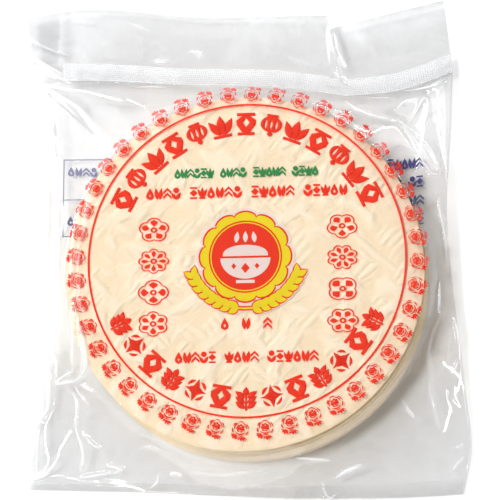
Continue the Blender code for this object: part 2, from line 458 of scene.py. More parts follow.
def grow(name, base, tree, values, material, smooth_angle=60):
    """Runs a geometry node tree on a mesh and returns the plain result as a piece."""
    worker = bpy.data.objects.new(name + "_worker", base)
    bpy.context.scene.collection.objects.link(worker)
    modifier = worker.modifiers.new("grow", "NODES")
    modifier.node_group = tree
    for item in tree.interface.items_tree:
        if item.in_out == "INPUT" and item.name in values:
            modifier[item.identifier] = values[item.name]
    graph = bpy.context.evaluated_depsgraph_get()
    mesh = bpy.data.meshes.new_from_object(worker.evaluated_get(graph))
    worker.modifiers.remove(modifier)
    bpy.data.objects.remove(worker)
    mesh.name = name
    return finish_mesh(name, mesh, material, smooth_angle)


# ---------------------------------------------------------------- materials
def mottle_group():
    """Shared slow and fine unevenness: one mask around 0.5 from two noises."""
    found = bpy.data.node_groups.get("Uneven Surface")
    if found:
        return found
    group = bpy.data.node_groups.new("Uneven Surface", "ShaderNodeTree")
    for label, default in (("Broad Scale", 60.0), ("Fine Scale", 900.0), ("Fine Share", 0.35)):
        socket = group.interface.new_socket(label, in_out="INPUT", socket_type="NodeSocketFloat")
        socket.default_value = default
    group.interface.new_socket("Mask", in_out="OUTPUT", socket_type="NodeSocketFloat")
    source = group.nodes.new("NodeGroupInput")
    sink = group.nodes.new("NodeGroupOutput")
    place = group.nodes.new("ShaderNodeTexCoord").outputs["Object"]
    broad = add_node(group, "ShaderNodeTexNoise",
                     {"Vector": place, "Scale": source.outputs["Broad Scale"], "Detail": 3.0})
    fine = add_node(group, "ShaderNodeTexNoise",
                    {"Vector": place, "Scale": source.outputs["Fine Scale"], "Detail": 2.0})
    both = add_node(group, "ShaderNodeMix",
                    {0: source.outputs["Fine Share"], 2: broad.outputs["Fac"],
                     3: fine.outputs["Fac"]}, data_type="FLOAT")
    group.links.new(both.outputs[0], sink.inputs["Mask"])
    return group


def new_material(name):
    """A material with empty nodes and its output."""
    material = bpy.data.materials.new(name)
    material.use_nodes = True
    tree = material.node_tree
    tree.nodes.clear()
    output = tree.nodes.new("ShaderNodeOutputMaterial")
    return material, tree, output


def shaded(tree, colour, dark, mask):
    """A colour that moves between dark times itself and itself with a mask."""
    darker = (colour[0] * dark[0], colour[1] * dark[1], colour[2] * dark[2], 1.0)
    return add_node(tree, "ShaderNodeMix", {0: mask, 6: darker, 7: tuple(colour)},
                    data_type="RGBA").outputs[2]


def ink_material(name, colour):
    """Thin ink on film: a little uneven in cover, with some light coming through."""
    material, tree, output = new_material(name)
    group = tree.nodes.new("ShaderNodeGroup")
    group.node_tree = mottle_group()
    group.inputs["Broad Scale"].default_value = 45.0
    group.inputs["Fine Scale"].default_value = 1400.0
    shader = add_node(tree, "ShaderNodeBsdfPrincipled",
                      {"Base Color": shaded(tree, colour, (1.0, 0.85, 0.85), group.outputs["Mask"]),
                       "Roughness": 0.45, "Specular IOR Level": 0.2})
    glow = add_node(tree, "ShaderNodeBsdfTranslucent", {"Color": tuple(colour)})
    ink = add_node(tree, "ShaderNodeMixShader",
                   {0: 0.12, 1: shader.outputs["BSDF"], 2: glow.outputs[0]})
    clear = add_node(tree, "ShaderNodeBsdfTransparent", {"Color": tuple(colour)})
    both = add_node(tree, "ShaderNodeMixShader", {0: 0.28, 1: ink.outputs[0], 2: clear.outputs[0]})
    tree.links.new(both.outputs[0], output.inputs["Surface"])
    return material


def paper_material(name, shade, translucent):
    """Dried rice sheet: warm and mottled, with painted shade in the low parts of the mat's imprint,
    and light through it.
    """
    material, tree, output = new_material(name)
    group = tree.nodes.new("ShaderNodeGroup")
    group.node_tree = mottle_group()
    group.inputs["Broad Scale"].default_value = 80.0
    group.inputs["Fine Scale"].default_value = 700.0
    relief = add_node(tree, "ShaderNodeBump",
                      {"Height": group.outputs["Mask"], "Strength": 0.3, "Distance": 0.0004})
    pressed = add_node(tree, "ShaderNodeAttribute", attribute_name="imprint")
    ribs = add_node(tree, "ShaderNodeBump",
                    {"Height": pressed.outputs["Fac"], "Distance": 0.0007,
                     "Normal": relief.outputs["Normal"]})
    # Partly the paper's own uneven tone from the mottle, partly painted shade that darkens the
    # imprint's hollows.
    mask = add_node(tree, "ShaderNodeMix",
                    {0: 0.6, 2: group.outputs["Mask"], 3: pressed.outputs["Fac"]},
                    data_type="FLOAT")
    colour = shaded(tree, shade, (0.91, 0.82, 0.66), mask.outputs[0])
    shader = add_node(tree, "ShaderNodeBsdfPrincipled",
                      {"Base Color": colour, "Roughness": 0.55, "Specular IOR Level": 0.25,
                       "Normal": ribs.outputs["Normal"]})
    glow = add_node(tree, "ShaderNodeBsdfTranslucent", {"Color": colour})
    both = add_node(tree, "ShaderNodeMixShader",
                    {0: translucent, 1: shader.outputs["BSDF"], 2: glow.outputs[0]})
    tree.links.new(both.outputs[0], output.inputs["Surface"])
    return material


def film_material(name, tint, haze, roughness, base_gloss, least_haze=0.25):
    """Clear film: what is behind shows through, with gloss that grows at grazing angles."""
    material, tree, output = new_material(name)
    # Painted shade: less light passes through the film near its top and left edges.
    painted_edge_shade = add_node(tree, "ShaderNodeAttribute", attribute_name="painted_edge_shade")
    edge_shade_tint = tuple(0.91 * value for value in tint[:3]) + (1.0,)
    passing = add_node(tree, "ShaderNodeMix",
                       {0: painted_edge_shade.outputs["Fac"], 6: tuple(tint), 7: edge_shade_tint}, data_type="RGBA")
    clear = add_node(tree, "ShaderNodeBsdfTransparent", {"Color": passing.outputs[2]})
    gloss = add_node(tree, "ShaderNodeBsdfGlossy",
                     {"Color": (1.0, 1.0, 1.0, 1.0), "Roughness": roughness})
    facing = add_node(tree, "ShaderNodeLayerWeight", {"Blend": 0.5})
    steep = add_node(tree, "ShaderNodeMath", {0: facing.outputs["Facing"], 1: 5.0},
                     operation="POWER")
    share = add_node(tree, "ShaderNodeMath", {0: steep.outputs[0], 1: 0.45, 2: base_gloss},
                     operation="MULTIPLY_ADD", use_clamp=True)
    glossy = add_node(tree, "ShaderNodeMixShader",
                      {0: share.outputs[0], 1: clear.outputs[0], 2: gloss.outputs[0]})
    # Milky patches where the two films cling together.
    place = tree.nodes.new("ShaderNodeTexCoord").outputs["Object"]
    cling = add_node(tree, "ShaderNodeTexNoise",
                     {"Vector": place, "Scale": 42.0, "Detail": 2.0, "Distortion": 1.2})
    patch = add_node(tree, "ShaderNodeMapRange",
                     {"Value": cling.outputs[0], "From Min": 0.46, "From Max": 0.56,
                      "To Min": least_haze, "To Max": 1.0}, interpolation_type="SMOOTHSTEP")
    where = add_node(tree, "ShaderNodeAttribute", attribute_name="milk")
    cloud = add_node(tree, "ShaderNodeMath", {0: patch.outputs[0], 1: where.outputs["Fac"]},
                     operation="MULTIPLY")
    # Painted highlight: white lines along the raised creases, mixed in as diffuse white.
    crease_paint = add_node(tree, "ShaderNodeAttribute", attribute_name="painted_crease_line")
    cloud = add_node(tree, "ShaderNodeMath",
                     {0: cloud.outputs[0], 1: haze, 2: crease_paint.outputs["Fac"]},
                     operation="MULTIPLY_ADD", use_clamp=True)
    milk = add_node(tree, "ShaderNodeBsdfDiffuse", {"Color": (0.92, 0.92, 0.93, 1.0)})
    both = add_node(tree, "ShaderNodeMixShader",
                    {0: cloud.outputs[0], 1: glossy.outputs[0], 2: milk.outputs[0]})
    tree.links.new(both.outputs[0], output.inputs["Surface"])
    return material


# ---------------------------------------------------------------- the stack of sheets
TOP_SHIFT = (-0.0007, 0.0014)      # how far the top sheet has slid from the stack's axis
RIM_DROP = 0.13                    # share of its height by which a sheet droops at its rim


def sheets_tree():
    """Sheets laid on each other along +Z by the handful, each turned, shifted and trimmed."""
    tree, source, sink = node_tree("Stack Of Sheets", (
        ("Radius", "NodeSocketFloat", 0.08), ("Thickness", "NodeSocketFloat", 0.00025),
        ("Pitch", "NodeSocketFloat", 0.0003), ("Count", "NodeSocketInt", 80),
        ("Handful", "NodeSocketInt", 13), ("Handful Gap", "NodeSocketFloat", 0.0002),
        ("Handful Shift", "NodeSocketFloat", 0.0005), ("Shift", "NodeSocketFloat", 0.0003),
        ("Lean", "NodeSocketVector", (0.0, 0.0, 0.0)), ("Rim Drop", "NodeSocketFloat", 0.1),
        ("Seed", "NodeSocketInt", 7),
        ("Material", "NodeSocketMaterial", None)))
    pitch = add_node(tree, "ShaderNodeCombineXYZ", {"Z": source.outputs["Pitch"]})
    line = add_node(tree, "GeometryNodeMeshLine",
                    {"Count": source.outputs["Count"], "Offset": pitch.outputs[0]})
    index = add_node(tree, "GeometryNodeInputIndex").outputs[0]
    handful = add_node(tree, "ShaderNodeMath", {0: index, 1: source.outputs["Handful"]},
                       operation="DIVIDE")
    handful = add_node(tree, "ShaderNodeMath", {0: handful.outputs[0]}, operation="FLOOR")
    gap = add_node(tree, "ShaderNodeMath",
                   {0: handful.outputs[0], 1: source.outputs["Handful Gap"]},
                   operation="MULTIPLY")
    rise = add_node(tree, "ShaderNodeCombineXYZ", {"Z": gap.outputs[0]})
    jumps = add_node(tree, "FunctionNodeRandomValue",
                     {0: (-1.0, -1.0, 0.0), 1: (1.0, 1.0, 0.0), "ID": handful.outputs[0],
                      "Seed": source.outputs["Seed"]}, data_type="FLOAT_VECTOR")
    jump = add_node(tree, "ShaderNodeVectorMath",
                    {0: jumps.outputs[0], "Scale": source.outputs["Handful Shift"]},
                    operation="SCALE")
    slides = add_node(tree, "FunctionNodeRandomValue",
                      {0: (-1.0, -1.0, 0.0), 1: (1.0, 1.0, 0.0), "Seed": 18},
                      data_type="FLOAT_VECTOR")
    slide = add_node(tree, "ShaderNodeVectorMath",
                     {0: slides.outputs[0], "Scale": source.outputs["Shift"]},
                     operation="SCALE")
    share = add_node(tree, "ShaderNodeMath", {0: index, 1: source.outputs["Count"]},
                     operation="DIVIDE")
    share = add_node(tree, "ShaderNodeMath", {0: share.outputs[0], 1: 0.5},
                     operation="SUBTRACT")
    lean = add_node(tree, "ShaderNodeVectorMath",
                    {0: source.outputs["Lean"], "Scale": share.outputs[0]}, operation="SCALE")
    offset = add_node(tree, "ShaderNodeVectorMath", {0: rise.outputs[0], 1: jump.outputs[0]},
                      operation="ADD")
    offset = add_node(tree, "ShaderNodeVectorMath", {0: offset.outputs[0], 1: slide.outputs[0]},
                      operation="ADD")
    offset = add_node(tree, "ShaderNodeVectorMath", {0: offset.outputs[0], 1: lean.outputs[0]},
                      operation="ADD")
    shifted = add_node(tree, "GeometryNodeSetPosition",
                       {"Geometry": line.outputs[0], "Offset": offset.outputs[0]})
    sheet = add_node(tree, "GeometryNodeMeshCylinder",
                     {"Vertices": 144, "Fill Segments": 3, "Radius": source.outputs["Radius"],
                      "Depth": source.outputs["Thickness"]})
    turn = add_node(tree, "FunctionNodeRandomValue",
                    {0: (0.0, 0.0, 0.0), 1: (0.0, 0.0, 6.28), "Seed": source.outputs["Seed"]},
                    data_type="FLOAT_VECTOR")
    trim = add_node(tree, "FunctionNodeRandomValue",
                    {2: 0.9965, 3: 1.001, "Seed": source.outputs["Seed"]}, data_type="FLOAT")
    trim_xy = add_node(tree, "ShaderNodeCombineXYZ",
                       {"X": trim.outputs[1], "Y": trim.outputs[1], "Z": 1.0})
    laid = add_node(tree, "GeometryNodeInstanceOnPoints",
                    {"Points": shifted.outputs[0], "Instance": sheet.outputs[0],
                     "Rotation": turn.outputs[0], "Scale": trim_xy.outputs[0]})
    real = add_node(tree, "GeometryNodeRealizeInstances", {"Geometry": laid.outputs[0]})
    # Low waves that all sheets share grow towards the top of the stack.
    place = add_node(tree, "GeometryNodeInputPosition").outputs[0]
    height = add_node(tree, "ShaderNodeSeparateXYZ", {0: place}).outputs["Z"]
    ground = add_node(tree, "ShaderNodeVectorMath", {0: place, 1: (1.0, 1.0, 0.0)},
                      operation="MULTIPLY")
    wave = add_node(tree, "ShaderNodeTexNoise", {"Vector": ground.outputs[0], "Scale": 28.0})
    centred = add_node(tree, "ShaderNodeMath", {0: wave.outputs[0], 1: 0.5}, operation="SUBTRACT")
    lift = add_node(tree, "ShaderNodeMath", {0: centred.outputs[0], 1: height},
                    operation="MULTIPLY")
    lift = add_node(tree, "ShaderNodeMath", {0: lift.outputs[0], 1: 0.03}, operation="MULTIPLY")
    # The rims droop, the more the higher the sheet lies.
    share = add_node(tree, "ShaderNodeVectorMath", {0: ground.outputs[0]}, operation="LENGTH")
    share = add_node(tree, "ShaderNodeMath",
                     {0: share.outputs["Value"], 1: source.outputs["Radius"]},
                     operation="DIVIDE")
    outer = add_node(tree, "ShaderNodeMapRange",
                     {"Value": share.outputs[0], "From Min": 0.85, "From Max": 1.0})
    outer = add_node(tree, "ShaderNodeMath", {0: outer.outputs[0], 1: 2.0}, operation="POWER")
    droop = add_node(tree, "ShaderNodeMath", {0: outer.outputs[0], 1: height},
                     operation="MULTIPLY")
    droop = add_node(tree, "ShaderNodeMath",
                     {0: droop.outputs[0], 1: source.outputs["Rim Drop"]}, operation="MULTIPLY")
    lift = add_node(tree, "ShaderNodeMath", {0: lift.outputs[0], 1: droop.outputs[0]},
                    operation="SUBTRACT")
    ripple = add_node(tree, "ShaderNodeCombineXYZ", {"Z": lift.outputs[0]})
    waved = add_node(tree, "GeometryNodeSetPosition",
                     {"Geometry": real.outputs[0], "Offset": ripple.outputs[0]})
    done = add_node(tree, "GeometryNodeSetMaterial",
                    {"Geometry": waved.outputs[0], "Material": source.outputs["Material"]})
    tree.links.new(done.outputs[0], sink.inputs[0])
    return tree


def weave(x, y, pitch):
    """Imprint of a woven drying mat: slats and broad pads in two directions, 0 low to 1 high."""
    turn = math.radians(47)
    a = x * math.cos(turn) + y * math.sin(turn) + 0.0022 * waves(x, y, 0.026, 3.1)
    b = y * math.cos(turn) - x * math.sin(turn) + 0.0022 * waves(x, y, 0.026, 8.7)
    high = np.zeros(x.shape)
    for along_slat, over_slat, seed in ((a, b, 1.3), (b, a, 7.9)):
        cluster = np.clip(3.2 * waves(along_slat, over_slat * 1.3, 0.0105, seed) - 0.3, 0, 1)
        drift = 0.35 * waves(along_slat, over_slat, 0.009, seed + 4)
        slat = np.sin(math.pi * ((over_slat / pitch + drift) % 1)) ** 0.8
        high = np.maximum(high, 0.75 * cluster * slat)
        pad = np.clip(2.6 * waves(along_slat * 0.55, over_slat, 0.0052, seed + 9) + 0.1, 0, 1)
        where = np.clip(2.5 * waves(x, y, 0.020, seed + 13) + 0.5, 0, 1)
        high = np.maximum(high, 0.95 * pad * where)
    # Fine creases where the sheet dried over the edge of a slat.
    folds = np.abs(waves(a / 3.5, b, 0.0044, 1.7)) + 0.4 * np.abs(waves(x, y, 0.02, 6.1))
    return np.clip(0.08 + 0.72 * high + 0.28 * (1 - np.clip(folds * 7, 0, 1)), 0, 1)


def disc_grid(radius, cells):
    """Rows of points of a square grid bent to a disc."""
    line = np.linspace(-1, 1, cells + 1)
    u, v = np.meshgrid(line, line)
    ring = np.maximum(np.maximum(np.abs(u), np.abs(v)), 1e-9)
    eighth_u, eighth_v = u / ring * math.pi / 4, v / ring * math.pi / 4
    angle = np.select(
        [u >= np.abs(v), v >= np.abs(u), -u >= np.abs(v)],
        [eighth_v, math.pi / 2 - eighth_u, math.pi - eighth_v], eighth_u - math.pi / 2)
    return ring * radius * np.cos(angle), ring * radius * np.sin(angle)


def grid_faces(rows, columns, start=0, flip=False):
    """Quads of a grid of points stored row by row."""
    faces = []
    for row in range(rows):
        for column in range(columns):
            a = start + row * (columns + 1) + column
            b = a + columns + 1
            faces.append((a, b, b + 1, a + 1) if flip else (a, a + 1, b + 1, b))
    return faces


def top_sheet(material, floor_z, shift):
    """The uppermost sheet, with the mat's imprint in its surface."""
    cells = 180
    x, y = disc_grid(sizes().sheet_radius, cells)
    imprint = weave(x, y, sizes().weave_pitch)
    broad = 0.00020 * waves(x, y, 0.030, 1.9)
    radius = np.hypot(x, y) / sizes().sheet_radius
    z = (floor_z + sizes().sheet_thickness + imprint * sizes().weave_depth + broad
         - RIM_DROP * floor_z * np.clip((radius - 0.85) / 0.15, 0, 1) ** 2)
    x, y = x + shift[0], y + shift[1]
    verts = list(zip(x.ravel(), y.ravel(), z.ravel()))
    faces = grid_faces(cells, cells)
    side = cells + 1
    loop = ([c for c in range(side)] + [r * side + cells for r in range(1, side)]
            + [cells * side + c for c in range(cells - 1, -1, -1)]
            + [r * side for r in range(cells - 1, 0, -1)])
    low = len(verts)
    verts += [(verts[i][0], verts[i][1], verts[i][2] - sizes().sheet_thickness) for i in loop]
    count = len(loop)
    for k in range(count):
        faces.append((loop[k], low + k, low + (k + 1) % count, loop[(k + 1) % count]))
    faces.append(tuple(low + k for k in range(count))[::-1])
    piece = make_piece("top_rice_paper", verts, faces, material, 50)
    layer = piece.data.attributes.new("imprint", "FLOAT", "POINT")
    layer.data.foreach_set("value", np.concatenate((imprint.ravel(), np.full(count, 0.5))))
    point_outward(piece.data)
    return piece


class PACK_OT_rice_papers(bpy.types.Operator):
    """Lay the stack of rice papers and the top sheet with its woven imprint"""

    bl_idname = "pack.rice_papers"
    bl_label = "Rice Papers"

    def execute(self, context):
        size = sizes()
        bottom = 0.00025
        top = BAG_HIGH.z - 0.00102
        handful, gap = 14, 0.00022
        gaps = (size.sheet_count - 1) // handful
        pitch = (top - bottom - gaps * gap) / size.sheet_count
        # Painted light: the sheets' edges get a lighter copy of the paper's colour.
        edge = paper_material("rice_paper_edge_lightened", colours().sheet_edge, 0.10)
        base = bpy.data.meshes.new("stack_base")
        stack = grow("rice_paper_stack", base, sheets_tree(), {
            "Radius": size.sheet_radius, "Thickness": size.sheet_thickness, "Pitch": pitch,
            "Count": size.sheet_count, "Handful": handful, "Handful Gap": gap,
            "Handful Shift": 0.0004, "Shift": 0.0002,
            "Lean": (2 * TOP_SHIFT[0], 1.6 * TOP_SHIFT[1], 0.0), "Rim Drop": RIM_DROP, "Seed": 7,
            "Material": edge}, edge, 40)
        stack.data.transform(Matrix.Translation((0, 0, bottom + size.sheet_thickness / 2)))
        carry(stack)
        carry(top_sheet(paper_material("rice_paper", colours().rice_paper, 0.0), top, TOP_SHIFT))
        return {"FINISHED"}


# ---------------------------------------------------------------- the clear film
FILM_COLUMNS = 250
BODY_ROWS = 250
HEADER_ROWS = 44
FILM_ROWS = BODY_ROWS + HEADER_ROWS


def film_grid():
    """Places of the film's grid: x, y, back and front height, looseness of skirt and header."""
    column = np.linspace(0, 1, FILM_COLUMNS + 1)
    u, v = np.meshgrid(2 * column - 1, np.linspace(-1, 1, BODY_ROWS + 1))
    flat, back, front, share = body_films(u, v)
    columns, rows = np.meshgrid(column, np.linspace(0, 1, HEADER_ROWS + 1)[1:])
    head_flat, head_back, head_front, open_share = header_films(columns, rows)
    flat = np.concatenate((flat, head_flat))
    back = np.concatenate((back, head_back))
    front = np.concatenate((front, head_front))
    skirt = np.concatenate((np.sin(math.pi * np.clip(share, 0, 1)), 0 * open_share))
    header = np.concatenate((0 * share, np.clip(open_share, 0, 1)))
    return flat[..., 0], flat[..., 1], back, front, skirt, header


def film_heights():
    """Grid of the two wrinkled films: x, y, back and front height, milkiness, painted highlight,
    painted edge shade.
    """
    x, y, back, front, skirt, header = film_grid()
    loose = np.clip(skirt * 2.5, 0, 1)
    top_free = np.clip(np.hypot(x + 0.0008, y - 0.0012) / 0.0735, 0, 1) ** 20
    rolling = waves(x, y, 0.024, 6.4)
    fine = waves(x, y, 0.007, 2.7)
    front = front + loose * (0.0007 * rolling + 0.00004 * fine)
    ridges, painted_highlight = creases(x, y, CREASES)
    front = front + np.maximum(loose, top_free * (y < 0.085)) * ridges
    front = front + (1 - top_free) * 0.00010 * waves(x, y, 0.026, 4.4)
    lift = np.clip(header * 3, 0, 1)
    wave = lift * (0.0007 * waves(x, y, 0.034, 9.3) + 0.00006 * waves(x, y, 0.010, 1.3))
    ridges, header_painted_highlight = creases(x, y, HEADER_CREASES)
    wave = wave + np.clip(header * 3 + (y > 0.088), 0, 1) * ridges
    painted_highlight = np.maximum(0.65 * painted_highlight, 0.5 * header_painted_highlight)
    # Below and to the right, a band just outside the stack's side gets painted sheen.
    dx, dy = x - RIM_CENTRE[0], y - RIM_CENTRE[1]
    away = np.hypot(dx, dy)
    low_right = np.clip((0.45 * dx - 0.89 * dy) / away, 0, 1)
    side_sheen_band = np.exp(-(((away - RIM_RADIUS) / MM - 3.6) / 1.9) ** 2)
    painted_highlight = np.maximum(painted_highlight, 0.17 * np.sqrt(low_right) * side_sheen_band)
    front, back = front + wave, back + wave
    back = back + skirt * 0.0004 * waves(x, y, 0.016, 7.1)
    back = np.maximum(back, 0.0)
    front = np.maximum(front, back + sizes().film_gap)
    milk = np.maximum(0.35 * skirt, 0.5 * np.clip(header * 6, 0, 1))
    # Painted shade: near its top and left edges the film lets less light through.
    painted_edge_shade = np.maximum(np.clip(header * 7 - 6, 0, 1),
                        np.clip((skirt + (header > 0)) * 1.5 - 0.5, 0, 1) * (x < -0.0885))
    return x, y, back, front, milk, painted_highlight, painted_edge_shade


def bag_film(material):
    """Front and back film as one closed skin; the back film's grid is half as fine."""
    x, y, back, front, milk, painted_highlight, painted_edge_shade = film_heights()
    coarse = (slice(None, None, 2), slice(None, None, 2))
    verts = list(zip(x.ravel(), y.ravel(), front.ravel()))
    start = len(verts)
    verts += list(zip(x[coarse].ravel(), y[coarse].ravel(), back[coarse].ravel()))
    faces = grid_faces(FILM_ROWS, FILM_COLUMNS)
    faces += grid_faces(FILM_ROWS // 2, FILM_COLUMNS // 2, start, flip=True)
    wide, half_wide = FILM_COLUMNS + 1, FILM_COLUMNS // 2 + 1

    def fine(row, column):
        return row * wide + column

    def rough(row, column):
        return start + row * half_wide + column

    def close(row_a, column_a, row_b, column_b):
        """Joins one edge of the back film's grid to the two edges above it."""
        a, b = rough(row_a, column_a), rough(row_b, column_b)
        high = (fine(2 * row_a, 2 * column_a), fine(row_a + row_b, column_a + column_b),
                fine(2 * row_b, 2 * column_b))
        faces.extend(((a, b, high[1]), (a, high[1], high[0]), (b, high[2], high[1])))

    last_row, last_column = FILM_ROWS // 2, FILM_COLUMNS // 2
    for column in range(last_column):
        close(0, column, 0, column + 1)
        close(last_row, column + 1, last_row, column)
    for row in range(last_row):
        close(row + 1, 0, row, 0)
        close(row, last_column, row + 1, last_column)
    piece = make_piece("bag_film", verts, faces, material, 80)
    for name, front_values, back_values in (
            ("milk", milk, milk), ("painted_crease_line", painted_highlight, 0 * milk), ("painted_edge_shade", painted_edge_shade, painted_edge_shade)):
        layer = piece.data.attributes.new(name, "FLOAT", "POINT")
        layer.data.foreach_set("value", np.concatenate((front_values.ravel(),
                                                        back_values[coarse].ravel())))
    return piece


class PACK_OT_bag_film(bpy.types.Operator):
    """Wrap the stack in its clear film bag"""

    bl_idname = "pack.bag_film"
    bl_label = "Bag Film"

    def execute(self, context):
        material = film_material("clear_film", colours().film_tint, 0.10, 0.05, 0.075)
        film = bag_film(material)
        carry(film)
        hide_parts("sealed_bag")
        return {"FINISHED"}



# ---------------------------------------------------------------- heat seal and foot weld
SEAL_START = 0.085         # share of the seal's length that is left plain at the pleated end


def pads_tree():
    """Field of small square frustums in the XY plane, with a plain gap across it."""
    tree, source, sink = node_tree("Embossed Pads", (
        ("Length", "NodeSocketFloat", 0.18), ("Width", "NodeSocketFloat", 0.008),
        ("Pitch", "NodeSocketFloat", 0.001), ("Height", "NodeSocketFloat", 0.0001),
        ("Gap Start", "NodeSocketFloat", 0.0), ("Gap End", "NodeSocketFloat", 0.0),
        ("Seed", "NodeSocketInt", 3), ("Material", "NodeSocketMaterial", None)))
    pitch = source.outputs["Pitch"]
    counts = []
    for side in ("Length", "Width"):
        steps = add_node(tree, "ShaderNodeMath", {0: source.outputs[side], 1: pitch},
                         operation="DIVIDE").outputs[0]
        counts.append(add_node(tree, "ShaderNodeMath", {0: steps, 1: 1.05},
                               operation="ADD").outputs[0])
    field = add_node(tree, "GeometryNodeMeshGrid",
                     {"Size X": source.outputs["Length"], "Size Y": source.outputs["Width"],
                      "Vertices X": counts[0], "Vertices Y": counts[1]})
    place = add_node(tree, "GeometryNodeInputPosition").outputs[0]
    x = add_node(tree, "ShaderNodeSeparateXYZ", {0: place}).outputs["X"]
    after = add_node(tree, "ShaderNodeMath", {0: x, 1: source.outputs["Gap Start"]},
                     operation="GREATER_THAN")
    before = add_node(tree, "ShaderNodeMath", {0: x, 1: source.outputs["Gap End"]},
                      operation="LESS_THAN")
    plain = add_node(tree, "ShaderNodeMath", {0: after.outputs[0], 1: before.outputs[0]},
                     operation="MULTIPLY")
    kept = add_node(tree, "GeometryNodeDeleteGeometry",
                    {"Geometry": field.outputs[0], "Selection": plain.outputs[0]},
                    domain="POINT")
    foot, head = (add_node(tree, "ShaderNodeMath", {0: pitch, 1: share},
                           operation="MULTIPLY").outputs[0] for share in (0.48, 0.36))
    pad = add_node(tree, "GeometryNodeMeshCone",
                   {"Vertices": 4, "Radius Top": head, "Radius Bottom": foot,
                    "Depth": source.outputs["Height"]})
    swell = add_node(tree, "FunctionNodeRandomValue",
                     {2: 0.82, 3: 1.08, "Seed": source.outputs["Seed"]}, data_type="FLOAT")
    laid = add_node(tree, "GeometryNodeInstanceOnPoints",
                    {"Points": kept.outputs[0], "Instance": pad.outputs[0],
                     "Rotation": (0.0, 0.0, math.pi / 4), "Scale": swell.outputs[1]})
    real = add_node(tree, "GeometryNodeRealizeInstances", {"Geometry": laid.outputs[0]})
    done = add_node(tree, "GeometryNodeSetMaterial",
                    {"Geometry": real.outputs[0], "Material": source.outputs["Material"]})
    tree.links.new(done.outputs[0], sink.inputs[0])
    return tree


def on_front(film, x, y):
    """Height of the front film over a point."""
    hit = film.ray_cast(Vector((x, y, 1.0)), Vector((0, 0, -1.0)))[0]
    if hit is None:
        raise RuntimeError(f"no film at {x:.4f}, {y:.4f}")
    return hit.z


def seal_place(share, height):
    """Point of the seal for a share of its length and a distance above its lower edge."""
    low, high = across(SEAL_LINE, share), across(TOP_EDGE, share)
    return mix(low, high, (height / np.hypot(*(high - low)[..., :2].T).T)[..., None])[..., :2]


def film_strip(name, places, film, lift, thickness, milk, material):
    """A closed thin strip on the front film, from rows of places; lift per row."""
    rows, columns = places.shape[0] - 1, places.shape[1] - 1
    verts = []
    for level in (thickness, 0.0):
        for row in range(rows + 1):
            for x, y in places[row]:
                verts.append((x, y, on_front(film, x, y) + 0.00001 + (lift[row] + 1e-9) * (level > 0)
                              + level))
    half = (rows + 1) * (columns + 1)
    faces = grid_faces(rows, columns) + grid_faces(rows, columns, half, flip=True)
    wide = columns + 1
    loop = ([c for c in range(wide)] + [r * wide + columns for r in range(1, rows + 1)]
            + [rows * wide + c for c in range(columns - 1, -1, -1)]
            + [r * wide for r in range(rows - 1, 0, -1)])
    for k, a in enumerate(loop):
        b = loop[(k + 1) % len(loop)]
        faces.append((a, a + half, b + half, b))
    piece = make_piece(name, verts, faces, material, 60)
    layer = piece.data.attributes.new("milk", "FLOAT", "POINT")
    layer.data.foreach_set("value", np.full(len(verts), milk))
    point_outward(piece.data)
    return carry(piece)


class PACK_OT_heat_seal(bpy.types.Operator):
    """Emboss the heat seal under the header and weld the foot of the bag"""

    bl_idname = "pack.heat_seal"
    bl_label = "Heat Seal"

    def execute(self, context):
        size = sizes()
        film = film_surface()
        sealed = film_material("sealed_film", (0.985, 0.985, 0.985, 1.0), 0.55, 0.25, 0.01, 0.8)
        shares = np.linspace(SEAL_START, 0.998, 200)
        heights = np.linspace(0.0, size.seal_width, 8)
        places = np.stack([seal_place(shares, np.full(shares.shape, h)) for h in heights])
        film_strip("seal_strip", places, film, np.zeros(8), 0.00003, 0.30, sealed)
        line = across(SEAL_LINE, shares)[:, :2]
        length = float(np.hypot(*np.diff(line, axis=0).T).sum())
        gap = 0.0006 * length / 0.18
        pads = grow("seal_pads", bpy.data.meshes.new("pads_base"), pads_tree(), {
            "Length": length - 0.0008, "Width": 8 * size.seal_pitch,
            "Pitch": size.seal_pitch, "Height": 0.00008, "Gap Start": 0.0178 - gap,
            "Gap End": 0.0178 + gap, "Seed": 3, "Material": sealed}, sealed, 20)
        flat = np.array([v.co for v in pads.data.vertices])
        share = mix(SEAL_START, 0.998, (flat[:, 0] + length / 2) / length)
        where = seal_place(share, flat[:, 1] + size.seal_width / 2)
        for vert, (x, y), z in zip(pads.data.vertices, where, flat[:, 2]):
            vert.co = (x, y, on_front(film, x, y) + 0.00010 + z)
        layer = pads.data.attributes.new("milk", "FLOAT", "POINT")
        layer.data.foreach_set("value", np.ones(len(flat)))
        carry(pads)
        weld = film_material("welded_film", (0.982, 0.982, 0.98, 1.0), 0.08, 0.06, 0.03)
        shares = np.linspace(0.004, 0.996, 160)
        edge = along(BOTTOM_EDGE, shares)[:, :2]
        rise = mix(0.0026, 0.0066, shares)
        rows = np.array((0.06, 0.5, 0.88, 0.95, 1.0, 1.05))
        places = np.stack([edge + np.stack((0 * rise, rise * row), -1) for row in rows])
        film_strip("foot_weld", places, film, np.array((0, 0, 0, 0.00008, 0.00016, 0.00002)),
                   0.00003, 0.6, weld)
        return {"FINISHED"}


# ---------------------------------------------------------------- outlines for the print
PRINT_CENTRE = Vector((0.0008, 0.0065))


def circle(radius, count=48, centre=(0.0, 0.0)):
    """Closed round outline in millimetres."""
    turns = [2 * math.pi * k / count for k in range(count)]
    return [(centre[0] + radius * math.cos(t), centre[1] + radius * math.sin(t)) for t in turns]


def lobed(radius, depth, lobes, count=96, turn=0.0, power=1.0):
    """Closed outline whose radius swings in and out around the circle."""
    out = []
    for k in range(count):
        t = 2 * math.pi * k / count
        swing = abs(math.cos(lobes * (t - turn) / 2)) ** power
        r = radius - depth * (1 - swing)
        out.append((r * math.cos(t), r * math.sin(t)))
    return out


